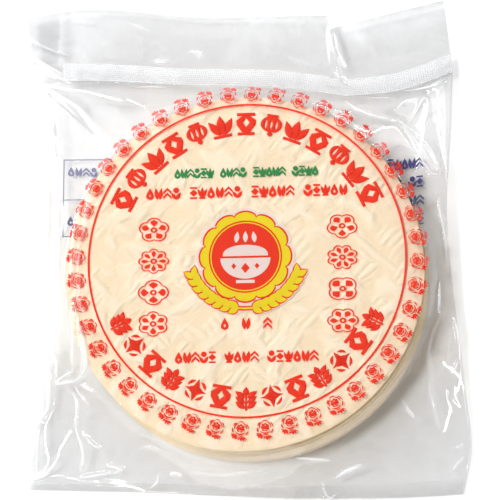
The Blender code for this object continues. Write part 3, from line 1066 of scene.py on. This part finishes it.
def leaf(base, tip, width, belly=0.45, count=9):
    """Pointed leaf or grain from base to tip, in millimetres."""
    ax, ay = base
    dx, dy = tip[0] - ax, tip[1] - ay
    length = math.hypot(dx, dy)
    nx, ny = -dy / length, dx / length
    side = []
    for k in range(1, count):
        s = k / count
        half = width / 2 * math.sin(math.pi * s ** (math.log(0.5) / math.log(belly)))
        side.append((s, half))
    right = [(ax + dx * s - nx * h, ay + dy * s - ny * h) for s, h in side]
    left = [(ax + dx * s + nx * h, ay + dy * s + ny * h) for s, h in reversed(side)]
    return [base] + right + [tip] + left


def crescent(centre, radius, start, end, thick, count=9):
    """Stroke along an arc, thick in its middle and pointed at both ends; angles in degrees."""
    outer, inner = [], []
    for k in range(count + 1):
        s = k / count
        t = math.radians(start + (end - start) * s)
        half = thick / 2 * math.sin(math.pi * s)
        outer.append((centre[0] + (radius + half) * math.cos(t),
                      centre[1] + (radius + half) * math.sin(t)))
        inner.append((centre[0] + (radius - half) * math.cos(t),
                      centre[1] + (radius - half) * math.sin(t)))
    return outer + inner[-2:0:-1]


def box(width, height, centre=(0.0, 0.0)):
    """Closed upright rectangle."""
    x, y, w, h = centre[0], centre[1], width / 2, height / 2
    return [(x - w, y - h), (x + w, y - h), (x + w, y + h), (x - w, y + h)]


def lozenge(width, height, centre=(0.0, 0.0), pinch=0.0):
    """Diamond, with its sides drawn in where pinch is above 0."""
    x, y, w, h = centre[0], centre[1], width / 2, height / 2
    q = 0.5 - pinch
    return [(x, y - h), (x + w * q, y - h * q), (x + w, y), (x + w * q, y + h * q),
            (x, y + h), (x - w * q, y + h * q), (x - w, y), (x - w * q, y - h * q)]


def moved(loops, shift=(0.0, 0.0), turn=0.0, scale=1.0):
    """The outlines scaled, turned by degrees and shifted."""
    c, s = math.cos(math.radians(turn)) * scale, math.sin(math.radians(turn)) * scale
    return [[(x * c - y * s + shift[0], x * s + y * c + shift[1]) for x, y in loop]
            for loop in loops]


def inside(points, loops):
    """Even-odd test of points against closed outlines."""
    hits = np.zeros(len(points), bool)
    px, py = points[:, 0], points[:, 1]
    for loop in loops:
        a = np.asarray(loop)
        b = np.roll(a, -1, axis=0)
        for (x0, y0), (x1, y1) in zip(a, b):
            if y0 == y1:
                continue
            crosses = (y0 > py) != (y1 > py)
            hits ^= crosses & (px < (x1 - x0) * (py - y0) / (y1 - y0) + x0)
    return hits


def fill(shapes, spacing=1.6):
    """Triangles that fill each shape, a list of outlines with holes even-odd; all millimetres."""
    verts, faces = [], []
    for loops in shapes:
        points = [p for loop in loops for p in loop]
        rims, first = [], 0
        for loop in loops:
            rims.append(list(range(first, first + len(loop))))
            first += len(loop)
        low, high = np.min(points, axis=0), np.max(points, axis=0)
        axes = [np.arange(low[i] + spacing / 2, high[i], spacing) for i in (0, 1)]
        grid = np.stack(np.meshgrid(*axes), -1).reshape(-1, 2)
        if len(grid):
            points += [tuple(p) for p in grid[inside(grid, loops)]]
        out, _, tris, *_ = delaunay_2d_cdt([Vector(p) for p in points], [], rims, 1, 1e-6)
        flat = np.array([tuple(p) for p in out])
        middles = np.array([flat[list(t)].mean(axis=0) for t in tris])
        kept = [t for t, good in zip(tris, inside(middles, loops)) if good]
        used = sorted({i for t in kept for i in t})
        place = {old: len(verts) + new for new, old in enumerate(used)}
        verts += [tuple(flat[i]) for i in used]
        faces += [tuple(place[i] for i in t) for t in kept]
    return verts, faces


def flat_mesh(name, shapes, spacing=1.6):
    """Mesh of filled shapes, in metres, lying at z 0 and facing up."""
    verts, faces = fill(shapes, spacing)
    mesh = bpy.data.meshes.new(name)
    mesh.from_pydata([(x * MM, y * MM, 0.0) for x, y in verts], [], faces)
    bm = bmesh.new()
    bm.from_mesh(mesh)
    for face in bm.faces:
        face.normal_update()
        if face.normal.z < 0:
            face.normal_flip()
    bm.to_mesh(mesh)
    bm.free()
    return mesh


INK_THICKNESS = 0.00002


def lay_under(mesh, film, depth, centre, from_top=True):
    """Bends a flat mesh to the film and gives it the ink's thickness, depth below the film."""
    for vert in mesh.vertices:
        x, y = vert.co.x + centre[0], vert.co.y + centre[1]
        origin = Vector((x, y, 1.0 if from_top else -1.0))
        hit = film.ray_cast(origin, Vector((0, 0, -1.0 if from_top else 1.0)))[0]
        if hit is None:
            raise RuntimeError(f"{mesh.name}: print reaches past the film at {x:.4f}, {y:.4f}")
        vert.co = (x, y, hit.z - depth)
    bm = bmesh.new()
    bm.from_mesh(mesh)
    bmesh.ops.solidify(bm, geom=bm.faces[:], thickness=INK_THICKNESS)
    bm.to_mesh(mesh)
    bm.free()
    return mesh


def motifs_tree():
    """The incoming mesh repeated along an arc, its foot towards the arc's centre."""
    tree, source, sink = node_tree("Motifs On An Arc", (
        ("Count", "NodeSocketInt", 12), ("Radius", "NodeSocketFloat", 0.07),
        ("Start", "NodeSocketFloat", 0.0), ("Step", "NodeSocketFloat", 0.1),
        ("Lean", "NodeSocketFloat", 0.0), ("Material", "NodeSocketMaterial", None)))
    line = add_node(tree, "GeometryNodeMeshLine", {"Count": source.outputs["Count"]})
    index = add_node(tree, "GeometryNodeInputIndex").outputs[0]
    angle = add_node(tree, "ShaderNodeMath", {0: index, 1: source.outputs["Step"],
                                              2: source.outputs["Start"]},
                     operation="MULTIPLY_ADD").outputs[0]
    cosine = add_node(tree, "ShaderNodeMath", {0: angle}, operation="COSINE").outputs[0]
    sine = add_node(tree, "ShaderNodeMath", {0: angle}, operation="SINE").outputs[0]
    way = add_node(tree, "ShaderNodeCombineXYZ", {"X": cosine, "Y": sine}).outputs[0]
    place = add_node(tree, "ShaderNodeVectorMath", {0: way, "Scale": source.outputs["Radius"]},
                     operation="SCALE").outputs[0]
    ring = add_node(tree, "GeometryNodeSetPosition",
                    {"Geometry": line.outputs[0], "Position": place})
    leaning = add_node(tree, "ShaderNodeMath", {0: angle, 1: source.outputs["Lean"]},
                       operation="ADD").outputs[0]
    turn = add_node(tree, "ShaderNodeCombineXYZ", {"Z": leaning}).outputs[0]
    laid = add_node(tree, "GeometryNodeInstanceOnPoints",
                    {"Points": ring.outputs[0], "Instance": source.outputs["Geometry"],
                     "Rotation": turn})
    real = add_node(tree, "GeometryNodeRealizeInstances", {"Geometry": laid.outputs[0]})
    done = add_node(tree, "GeometryNodeSetMaterial",
                    {"Geometry": real.outputs[0], "Material": source.outputs["Material"]})
    tree.links.new(done.outputs[0], sink.inputs[0])
    return tree


def film_surface(name="bag_film"):
    """Tree for finding the film's surface under a point of the print."""
    mesh = bpy.data.objects[name].data
    return BVHTree.FromPolygons([v.co[:] for v in mesh.vertices],
                                [p.vertices[:] for p in mesh.polygons])


def arc_print(name, shapes, material, film, count, radius, start, step, lean=-90.0,
              depth=0.00004):
    """A motif repeated on an arc around the print's centre; angles in degrees."""
    tree = bpy.data.node_groups.get("Motifs On An Arc") or motifs_tree()
    piece = grow(name, flat_mesh(name + "_motif", shapes), tree, {
        "Count": count, "Radius": radius, "Start": math.radians(start),
        "Step": math.radians(step), "Lean": math.radians(lean), "Material": material}, material)
    lay_under(piece.data, film, depth, PRINT_CENTRE)
    return carry(piece)


def flat_print(name, shapes, material, film, depth=0.00004, spacing=1.6, centre=None):
    """Shapes laid under the front film, in millimetres from the print's centre."""
    mesh = flat_mesh(name, shapes, spacing)
    lay_under(mesh, film, depth, PRINT_CENTRE if centre is None else centre)
    return carry(finish_mesh(name, mesh, material))


# ---------------------------------------------------------------- motifs of the print
def rose():
    """A blown rose: a curled heart in broken petal edges, with jagged leaves behind it at +Y."""
    heart = [(x, y - 1.3) for x, y in lobed(1.95, 0.45, 7, 28)]
    shapes = [
        [heart, crescent((0.0, -1.25), 1.15, 15, 150, 0.42, 6),
         crescent((0.1, -1.45), 0.75, 195, 330, 0.40, 5)],
        [[(1.5, 2.0), (2.1, 1.1), (3.0, 1.1), (4.2, 0.6), (3.8, 1.5), (4.3, 2.2), (3.5, 2.3),
          (3.5, 3.3), (2.7, 2.9), (2.0, 3.7), (1.5, 2.8)]],
        [[(1.1, 2.7), (0.9, 4.0), (0.2, 3.4), (-0.5, 4.6), (-1.0, 3.7), (-1.9, 4.3), (-1.8, 3.4),
          (-2.8, 3.3), (-1.9, 2.5), (-0.4, 2.6)]]]
    # Petal edges: centre, radius, thickness, first and last direction.
    for x, y, radius, thick, start, end in (
            (0.0, -1.2, 2.60, 0.70, 20, 152), (-0.1, -1.2, 2.50, 0.55, 163, 262),
            (0.2, -1.3, 2.45, 0.55, 272, 378), (0.0, -1.0, 3.15, 0.55, 62, 118),
            (-0.2, -0.9, 3.20, 0.60, 122, 172), (-0.2, -0.9, 3.30, 0.50, 178, 232),
            (0.0, -0.9, 3.35, 0.45, 238, 290), (0.2, -0.9, 3.30, 0.50, 296, 338),
            (0.3, -0.8, 3.20, 0.60, -16, 30)):
        shapes.append([crescent((x, y), radius, start, end, thick, 8)])
    return shapes


def urn():
    """Vase with a window between two bars, 1 tall."""
    body = [(-0.17, 0.37), (0.17, 0.37), (0.43, 0.17), (0.41, -0.05), (0.17, -0.37),
            (-0.17, -0.37), (-0.41, -0.05), (-0.43, 0.17)]
    return [[body, lozenge(0.30, 0.40, (0, 0.07))], [box(0.80, 0.13, (0, 0.435))],
            [box(0.74, 0.13, (0, -0.435))]]


def plume():
    """Three bold leaves that rise from a bar, 1 tall."""
    shapes = [[leaf((0, -0.38), (0, 0.5), 0.42)], [box(0.80, 0.13, (0, -0.435))]]
    for side in (-1, 1):
        shapes.append([leaf((side * 0.08, -0.38), (side * 0.53, 0.32), 0.34)])
    return shapes


def lantern():
    """Round lantern with slits, a cap and a tassel, 1 tall."""
    globe = [(0.47 * math.cos(t), 0.05 + 0.36 * math.sin(t))
             for t in np.radians(np.arange(0, 360, 15))]
    slits = [leaf((x, -0.17), (x, 0.27), 0.10, count=6) for x in (-0.23, 0.0, 0.23)]
    return [[globe] + slits, [box(0.50, 0.11, (0, 0.445))],
            [leaf((0, -0.28), (0, -0.5), 0.24, count=6)]]


def sheaf():
    """Ear of grain with paired bold grains, 1 tall."""
    shapes = [[leaf((0, 0.10), (0, 0.5), 0.27)], [box(0.09, 0.62, (0, -0.19))]]
    for side in (-1, 1):
        for y in (-0.42, -0.20, 0.02):
            shapes.append([leaf((side * 0.05, y), (side * 0.46, y + 0.30), 0.25)])
    return shapes


def star():
    """Four-pointed star in a broken ring, 1 tall."""
    shapes = [[lozenge(0.78, 1.0, pinch=0.17)], [lozenge(1.0, 0.56, pinch=0.17)]]
    for turn in (45, 135, 225, 315):
        shapes.append([crescent((0, 0), 0.41, turn - 30, turn + 30, 0.13, 6)])
    return shapes


def small_marks():
    """Six small upright marks, 1 tall and about two thirds as wide."""
    drop = [[leaf((0, -0.5), (0, 0.5), 0.62, 0.30), lozenge(0.20, 0.30, (0, -0.14))]]
    fan = [[leaf((0, -0.42), (0, 0.5), 0.30)], [leaf((-0.02, -0.42), (-0.38, 0.34), 0.28)],
           [leaf((0.02, -0.42), (0.38, 0.34), 0.28)], [box(0.50, 0.15, (0, -0.42))]]
    jewel = [[lozenge(0.66, 0.60)], [box(0.56, 0.15, (0, 0.42))],
             [box(0.56, 0.15, (0, -0.42))]]
    roofs = [[[(0, 0.5 - y), (0.34, 0.16 - y), (0.34, -0.06 - y), (0, 0.28 - y),
               (-0.34, -0.06 - y), (-0.34, 0.16 - y)]] for y in (0.0, 0.40)]
    sprout = [[circle(0.24, 12, (0, 0.26))], [leaf((0, -0.5), (0.38, 0.08), 0.30)],
              [leaf((0, -0.5), (-0.38, 0.08), 0.30)]]
    pair = [[leaf((side * 0.10, -0.5), (side * 0.24, 0.5), 0.34)] for side in (-1, 1)]
    return drop, fan, jewel, sprout, roofs, pair


def blossom(petals, turn, stretch):
    """Open flower of solid petals around a ring, inside a thin line that follows them."""
    shapes = [[circle(1.25, 16), circle(0.55, 12)]]
    for k in range(petals):
        t = math.radians(turn + 360 * k / petals)
        way = (math.cos(t), math.sin(t))
        shapes.append([leaf((1.5 * way[0], 1.5 * way[1]), (4.7 * way[0], 4.7 * way[1]),
                            min(3.9, 13.0 / petals), 0.62, 10)])
    swing = math.radians(turn)
    shapes.append([lobed(5.75, 1.2, petals, 84, swing, 0.8),
                   lobed(5.20, 1.1, petals, 84, swing, 0.8)])
    return [[[(x * stretch, y) for x, y in loop] for loop in shape] for shape in shapes]


def row_of(motifs, height, step, groups, y):
    """Marks in groups along a level row centred on x 0; one step is left free between groups."""
    slots = sum(groups) + len(groups) - 1
    out, slot, number = [], 0, 0
    for group in groups:
        for _ in range(group):
            x = (slot - (slots - 1) / 2) * step
            motif = motifs[number * 5 % len(motifs)]
            out += [moved(shape, (x, y), scale=height) for shape in motif]
            slot += 1
            number += 1
        slot += 1
    return out


def ring_line(radius, width, count=360):
    return [[circle(radius + width / 2, count), circle(radius - width / 2, count)]]


def bowl():
    """Rice bowl with a heap of rice, three grains above it and two sticks across."""
    rim = [(-8.6, 0.6), (8.6, 0.6)]
    wall = [(8.6 * math.cos(t), 0.6 + 8.4 * math.sin(t) * 0.86)
            for t in np.linspace(0, -math.pi, 25)[1:-1]]
    body = [rim[1]] + [(x, y) for x, y in wall] + [rim[0]]
    heap = [(7.8 * math.cos(t), 1.3 + 3.9 * math.sin(t) ** 0.8)
            for t in np.linspace(0, math.pi, 25)]
    shapes = [[body, lozenge(3.0, 3.6, (0, -2.9)), lozenge(1.7, 2.2, (-4.0, -2.2)),
               lozenge(1.7, 2.2, (4.0, -2.2))], [box(6.4, 1.1, (0, -7.6))], [heap]]
    for x, lean in ((-4.2, -25), (0.0, 0), (4.2, 25)):
        shapes.append(moved([leaf((0, 6.2), (0, 10.2), 1.7)], (x, -0.2), lean * 0.35))
    return shapes


def garland(side, swell):
    """One curved ear of rice under the medallion; side is -1 or 1, swell widens every part."""
    shapes = []
    for k in range(8):
        t = math.radians(-83 + 8.0 * k)
        x, y = side * 26 * math.cos(t), 26 * math.sin(t) + 2.6
        for lean, reach in ((0.55, 5.6), (-0.55, 5.0)):
            a = t + math.pi / 2 + lean
            push = swell / 3
            base = (x - side * push * math.cos(a), y - push * math.sin(a))
            tip = (x + side * (reach + push) * math.cos(a), y + (reach + push) * math.sin(a))
            shapes.append([leaf(base, tip, 2.7 + swell)])
    half = 0.4 + swell / 2
    arc = np.radians(np.linspace(-90, -27, 16))
    stem = [(side * r * math.cos(t), r * math.sin(t) + 2.6)
            for r, run in ((26 + half, arc), (26 - half, arc[::-1])) for t in run]
    shapes.append([stem])
    return shapes


class PACK_OT_rosettes(bpy.types.Operator):
    """Print the ring of roses and the ring line on the front film"""

    bl_idname = "pack.rosettes"
    bl_label = "Rose Ring"

    def execute(self, context):
        red = ink_material("red_print", colours().red_ink)
        film = film_surface()
        count = sizes().rosette_count
        arc_print("rose_ring", rose(), red, film, count,
                  sizes().print_radius + 0.0061, 6.3, 360 / count)
        flat_print("ring_line", ring_line(sizes().print_radius / MM, 0.85), red,
                   film, spacing=3.0)
        return {"FINISHED"}


class PACK_OT_red_ornaments(bpy.types.Operator):
    """Print the arcs, columns and rows of red and green ornaments on the front film"""

    bl_idname = "pack.red_ornaments"
    bl_label = "Printed Ornaments"

    def execute(self, context):
        red = bpy.data.materials["red_print"]
        green = ink_material("green_print", colours().green_ink)
        film = film_surface()
        # Three motifs take turns along each arc, the lower arc's with their foot outwards.
        for name, motifs, start, radius, foot in (
                ("upper", (urn, plume, lantern), 27.0, 0.0619, -90),
                ("lower", (sheaf, star, urn), 207.0, 0.0626, 90)):
            for k, motif in enumerate(motifs):
                shapes = [moved(shape, scale=10.4) for shape in motif()]
                arc_print(f"{name}_{motif.__name__}s", shapes, red, film,
                          5 if k == 0 else 4, radius, start + 10.5 * k, 31.5, foot)
        columns = []
        for k, petals in enumerate((5, 8, 4, 6)):
            for side, x in ((0, -41.5), (1, 42.8)):
                columns += [moved(shape, (x, 14.0 - 14.2 * k))
                            for shape in blossom(petals, 90 + side * 180 / petals, 1.22)]
        flat_print("side_blossoms", columns, red, film)
        marks = small_marks()
        flat_print("red_rows", row_of(marks, 5.5, 3.95, (4, 6, 5, 5), 30.6)
                   + row_of(marks, 5.3, 3.75, (5, 4, 6), -44.0)
                   + row_of(marks, 5.6, 9.5, (3,), -29.2), red, film)
        flat_print("green_row", row_of(marks, 4.7, 2.95, (6, 4, 5, 4), 39.6), green,
                   film)
        return {"FINISHED"}


class PACK_OT_medallion(bpy.types.Operator):
    """Print the scalloped medallion with a rice bowl and the garland under it"""

    bl_idname = "pack.medallion"
    bl_label = "Medallion"

    def execute(self, context):
        film = film_surface()
        red = bpy.data.materials["red_print"]
        yellow = ink_material("yellow_print", colours().yellow_ink)
        white = ink_material("white_print", colours().white_ink)
        middle = (PRINT_CENTRE.x - 0.0003, PRINT_CENTRE.y + 0.0010)

        def scallops(radius):
            return lobed(radius, 2.0, 12, 192, power=0.5)

        def garlands(swell):
            return [shape for side in (-1, 1) for shape in garland(side, swell)]

        flat_print("medallion_backing", [[scallops(22.3)]] + garlands(2.6), white,
                   film, 0.00010, 1.6, middle)
        flat_print("medallion_red", [[scallops(21.0), circle(10.0)], [circle(10.0)]]
                   + garlands(1.3), red, film, 0.00007, 1.6, middle)
        flat_print("medallion_yellow", [[scallops(20.2), circle(16.4, 72)],
                                        [circle(15.7, 72), circle(15.2, 72)]] + garlands(0.0),
                   yellow, film, 0.00004, 1.6, middle)
        figure = [moved(shape, (0, -1.4), scale=1.3) for shape in bowl()]
        flat_print("medallion_bowl", figure, white, film, 0.00004, 1.6, middle)
        return {"FINISHED"}


def frame_line(x0, y0, x1, y1, width=0.45):
    """Rectangular outline of the given line width."""
    outer = [(x0, y0), (x1, y0), (x1, y1), (x0, y1)]
    inner = [(x0 + width, y0 + width), (x1 - width, y0 + width),
             (x1 - width, y1 - width), (x0 + width, y1 - width)]
    return [outer, inner]


class PACK_OT_back_print(bpy.types.Operator):
    """Print the ruled panel and the rows of marks on the back film"""

    bl_idname = "pack.back_print"
    bl_label = "Back Print"

    def execute(self, context):
        film = film_surface()
        blue = ink_material("blue_print", colours().blue_ink)
        marks = small_marks()
        shapes = [frame_line(-86.2, 22.9, -24.0, 59.4), [box(61.3, 0.45, (-55.1, 40.2))]]
        groups = ((4, 6, 5), (5, 3, 7), (6, 4, 5), (3, 6, 6), (7, 4, 4))
        for k, y in enumerate((53.8, 30.6)):
            shapes += [moved(shape, (-56.0, 0)) for shape in
                       row_of(marks, 4.6, 3.35, groups[k], y)]
        for k in range(9):
            group = groups[k * 2 % 5] + ((2,) if k % 2 else ())
            start = 77.6 - 1.675 * (sum(group) + len(group) - 2)
            shapes += [moved(shape, (start, 0)) for shape in
                       row_of(marks, 5.2, 3.35, group, 54.0 - 8.6 * k)]
        shapes += row_of(marks, 4.6, 3.35, (7, 5, 8, 6), -56.0)
        mesh = flat_mesh("back_print", shapes)
        lay_under(mesh, film, -0.00007, (0.0, 0.0), from_top=False)
        carry(finish_mesh("back_print", mesh, blue))
        return {"FINISHED"}


# ---------------------------------------------------------------- stage
AIM = Vector((0.00119, 0.01315, 0.012))
CAMERA_BACK = Vector((math.sin(math.radians(6)), -math.sin(math.radians(12)), 0))
CAMERA_DISTANCE = 1.0
LENS = 159.9
LIGHT_DISTANCE = 1.6


def area_light(name, direction, size, radiance, lit="all", distance=LIGHT_DISTANCE):
    """Rectangular light aimed at the pack; its first size lies level. lit: all, matt or gloss."""
    data = bpy.data.lights.new(name, "AREA")
    data.shape = "RECTANGLE"
    data.size, data.size_y = size
    data.energy = radiance * math.pi * size[0] * size[1]
    light = bpy.data.objects.new(name, data)
    place = AIM + Vector(direction).normalized() * distance
    light.location = place
    light.rotation_euler = (AIM - place).to_track_quat("-Z", "Y").to_euler()
    light.visible_diffuse = lit != "gloss"
    light.visible_glossy = lit != "matt"
    bpy.context.scene.collection.objects.link(light)


def studio_world(base, bright, direction):
    """Even surroundings with a soft bright patch around one direction."""
    world = bpy.data.worlds.new("studio")
    world.use_nodes = True
    tree = world.node_tree
    way = tree.nodes.new("ShaderNodeTexCoord").outputs["Generated"]
    side = add_node(tree, "ShaderNodeVectorMath", {0: way, 1: Vector(direction).normalized()},
                    operation="DOT_PRODUCT")
    glow = add_node(tree, "ShaderNodeMapRange",
                    {"Value": side.outputs["Value"], "From Min": 0.82, "From Max": 0.965,
                     "To Min": base, "To Max": bright}, interpolation_type="SMOOTHSTEP")
    background = tree.nodes["Background"]
    background.inputs["Color"].default_value = (0.94, 0.97, 1.0, 1.0)
    tree.links.new(glow.outputs[0], background.inputs["Strength"])
    return world


class PACK_OT_stage(bpy.types.Operator):
    """Set the pale floor, the soft lights and the camera"""

    bl_idname = "pack.stage"
    bl_label = "Stage"

    def execute(self, context):
        scene = context.scene
        material, tree, output = new_material("pale_floor")
        shader = add_node(tree, "ShaderNodeBsdfDiffuse", {"Color": (0.93, 0.93, 0.93, 1.0)})
        tree.links.new(shader.outputs[0], output.inputs["Surface"])
        bpy.ops.mesh.primitive_plane_add(size=8, location=(0, 0, -0.0004))
        floor = context.object
        floor.name = "floor"
        floor.data.materials.append(material)
        scene.world = studio_world(0.14, 2.9, (-0.68, 0.50, 0.52))
        area_light("key", (-0.38, 0.06, 0.91), (0.42, 0.42), 61, "matt", 2.0)
        area_light("back_fill", (-0.10, 0.75, 0.65), (0.5, 0.3), 2.7, "matt", 0.7)
        area_light("low_fill", (0.30, -0.95, 0.10), (0.9, 0.24), 27.0, "matt")
        area_light("right_fill", (0.97, -0.18, 0.10), (0.9, 0.24), 9.0, "matt")
        area_light("back_panel", (-0.10, 0.66, 0.75), (2.4, 0.9), 0.12, "gloss")
        area_light("wall_panel", (-0.20, 0.96, 0.16), (2.8, 0.7), 1.0, "gloss")
        area_light("right_panel", (0.44, 0.61, 0.66), (0.9, 0.6), 1.8, "gloss")
        for name, direction, length in (
                ("left_glint", (-0.62, 0.12, 0.77), 1.0),
                ("left_low_glint", (-0.88, 0.10, 0.46), 0.8),
                ("right_glint", (0.72, 0.05, 0.69), 0.9),
                ("top_glint", (0.27, 0.79, 0.55), 0.5),
                ("top_right_glint", (0.48, 0.52, 0.70), 0.8),
                ("foot_glint", (-0.20, -0.72, 0.66), 0.3),
                ("foot_left_glint", (-0.50, -0.50, 0.70), 0.8)):
            area_light(name, direction, (length, 0.026), 40, "gloss")
        data = bpy.data.cameras.new("camera")
        data.lens = LENS
        data.sensor_width = 36
        data.clip_start = 0.05
        camera = bpy.data.objects.new("camera", data)
        back = CAMERA_BACK.copy()
        back.z = math.sqrt(1 - back.length_squared)
        right = (-back).cross(Vector((0, 1, 0))).normalized()
        up = right.cross(-back)
        turn = Matrix((right, up, back)).transposed().to_4x4()
        camera.matrix_world = Matrix.Translation(AIM + back * CAMERA_DISTANCE) @ turn
        scene.collection.objects.link(camera)
        scene.camera = camera
        scene.view_settings.view_transform = "Standard"
        return {"FINISHED"}


class PACK_PT_pieces(bpy.types.Panel):
    """Buttons that build the pack piece by piece"""

    bl_label = "Rice Paper Pack"
    bl_idname = "PACK_PT_pieces"
    bl_space_type = "VIEW_3D"
    bl_region_type = "UI"
    bl_category = "Rice Paper"

    def draw(self, context):
        for piece in PIECES:
            self.layout.operator(piece.bl_idname)


PIECES = (PACK_OT_stage, PACK_OT_rice_papers, PACK_OT_bag_film, PACK_OT_heat_seal,
          PACK_OT_rosettes, PACK_OT_red_ornaments, PACK_OT_medallion, PACK_OT_back_print)
CLASSES = (PackSizes, PackColours) + PIECES + (PACK_PT_pieces,)


def register():
    for cls in CLASSES:
        bpy.utils.register_class(cls)
    bpy.types.Scene.pack_sizes = PointerProperty(type=PackSizes)
    bpy.types.Scene.pack_colours = PointerProperty(type=PackColours)


def unregister():
    del bpy.types.Scene.pack_colours
    del bpy.types.Scene.pack_sizes
    for cls in reversed(CLASSES):
        bpy.utils.unregister_class(cls)


def main():
    register()
    bpy.ops.pack.stage()
    bpy.ops.pack.rice_papers()
    bpy.ops.pack.bag_film()
    bpy.ops.pack.heat_seal()
    bpy.ops.pack.rosettes()
    bpy.ops.pack.red_ornaments()
    bpy.ops.pack.medallion()
    bpy.ops.pack.back_print()
    bpy.context.view_layer.update()


if __name__ == "__main__":
    main()
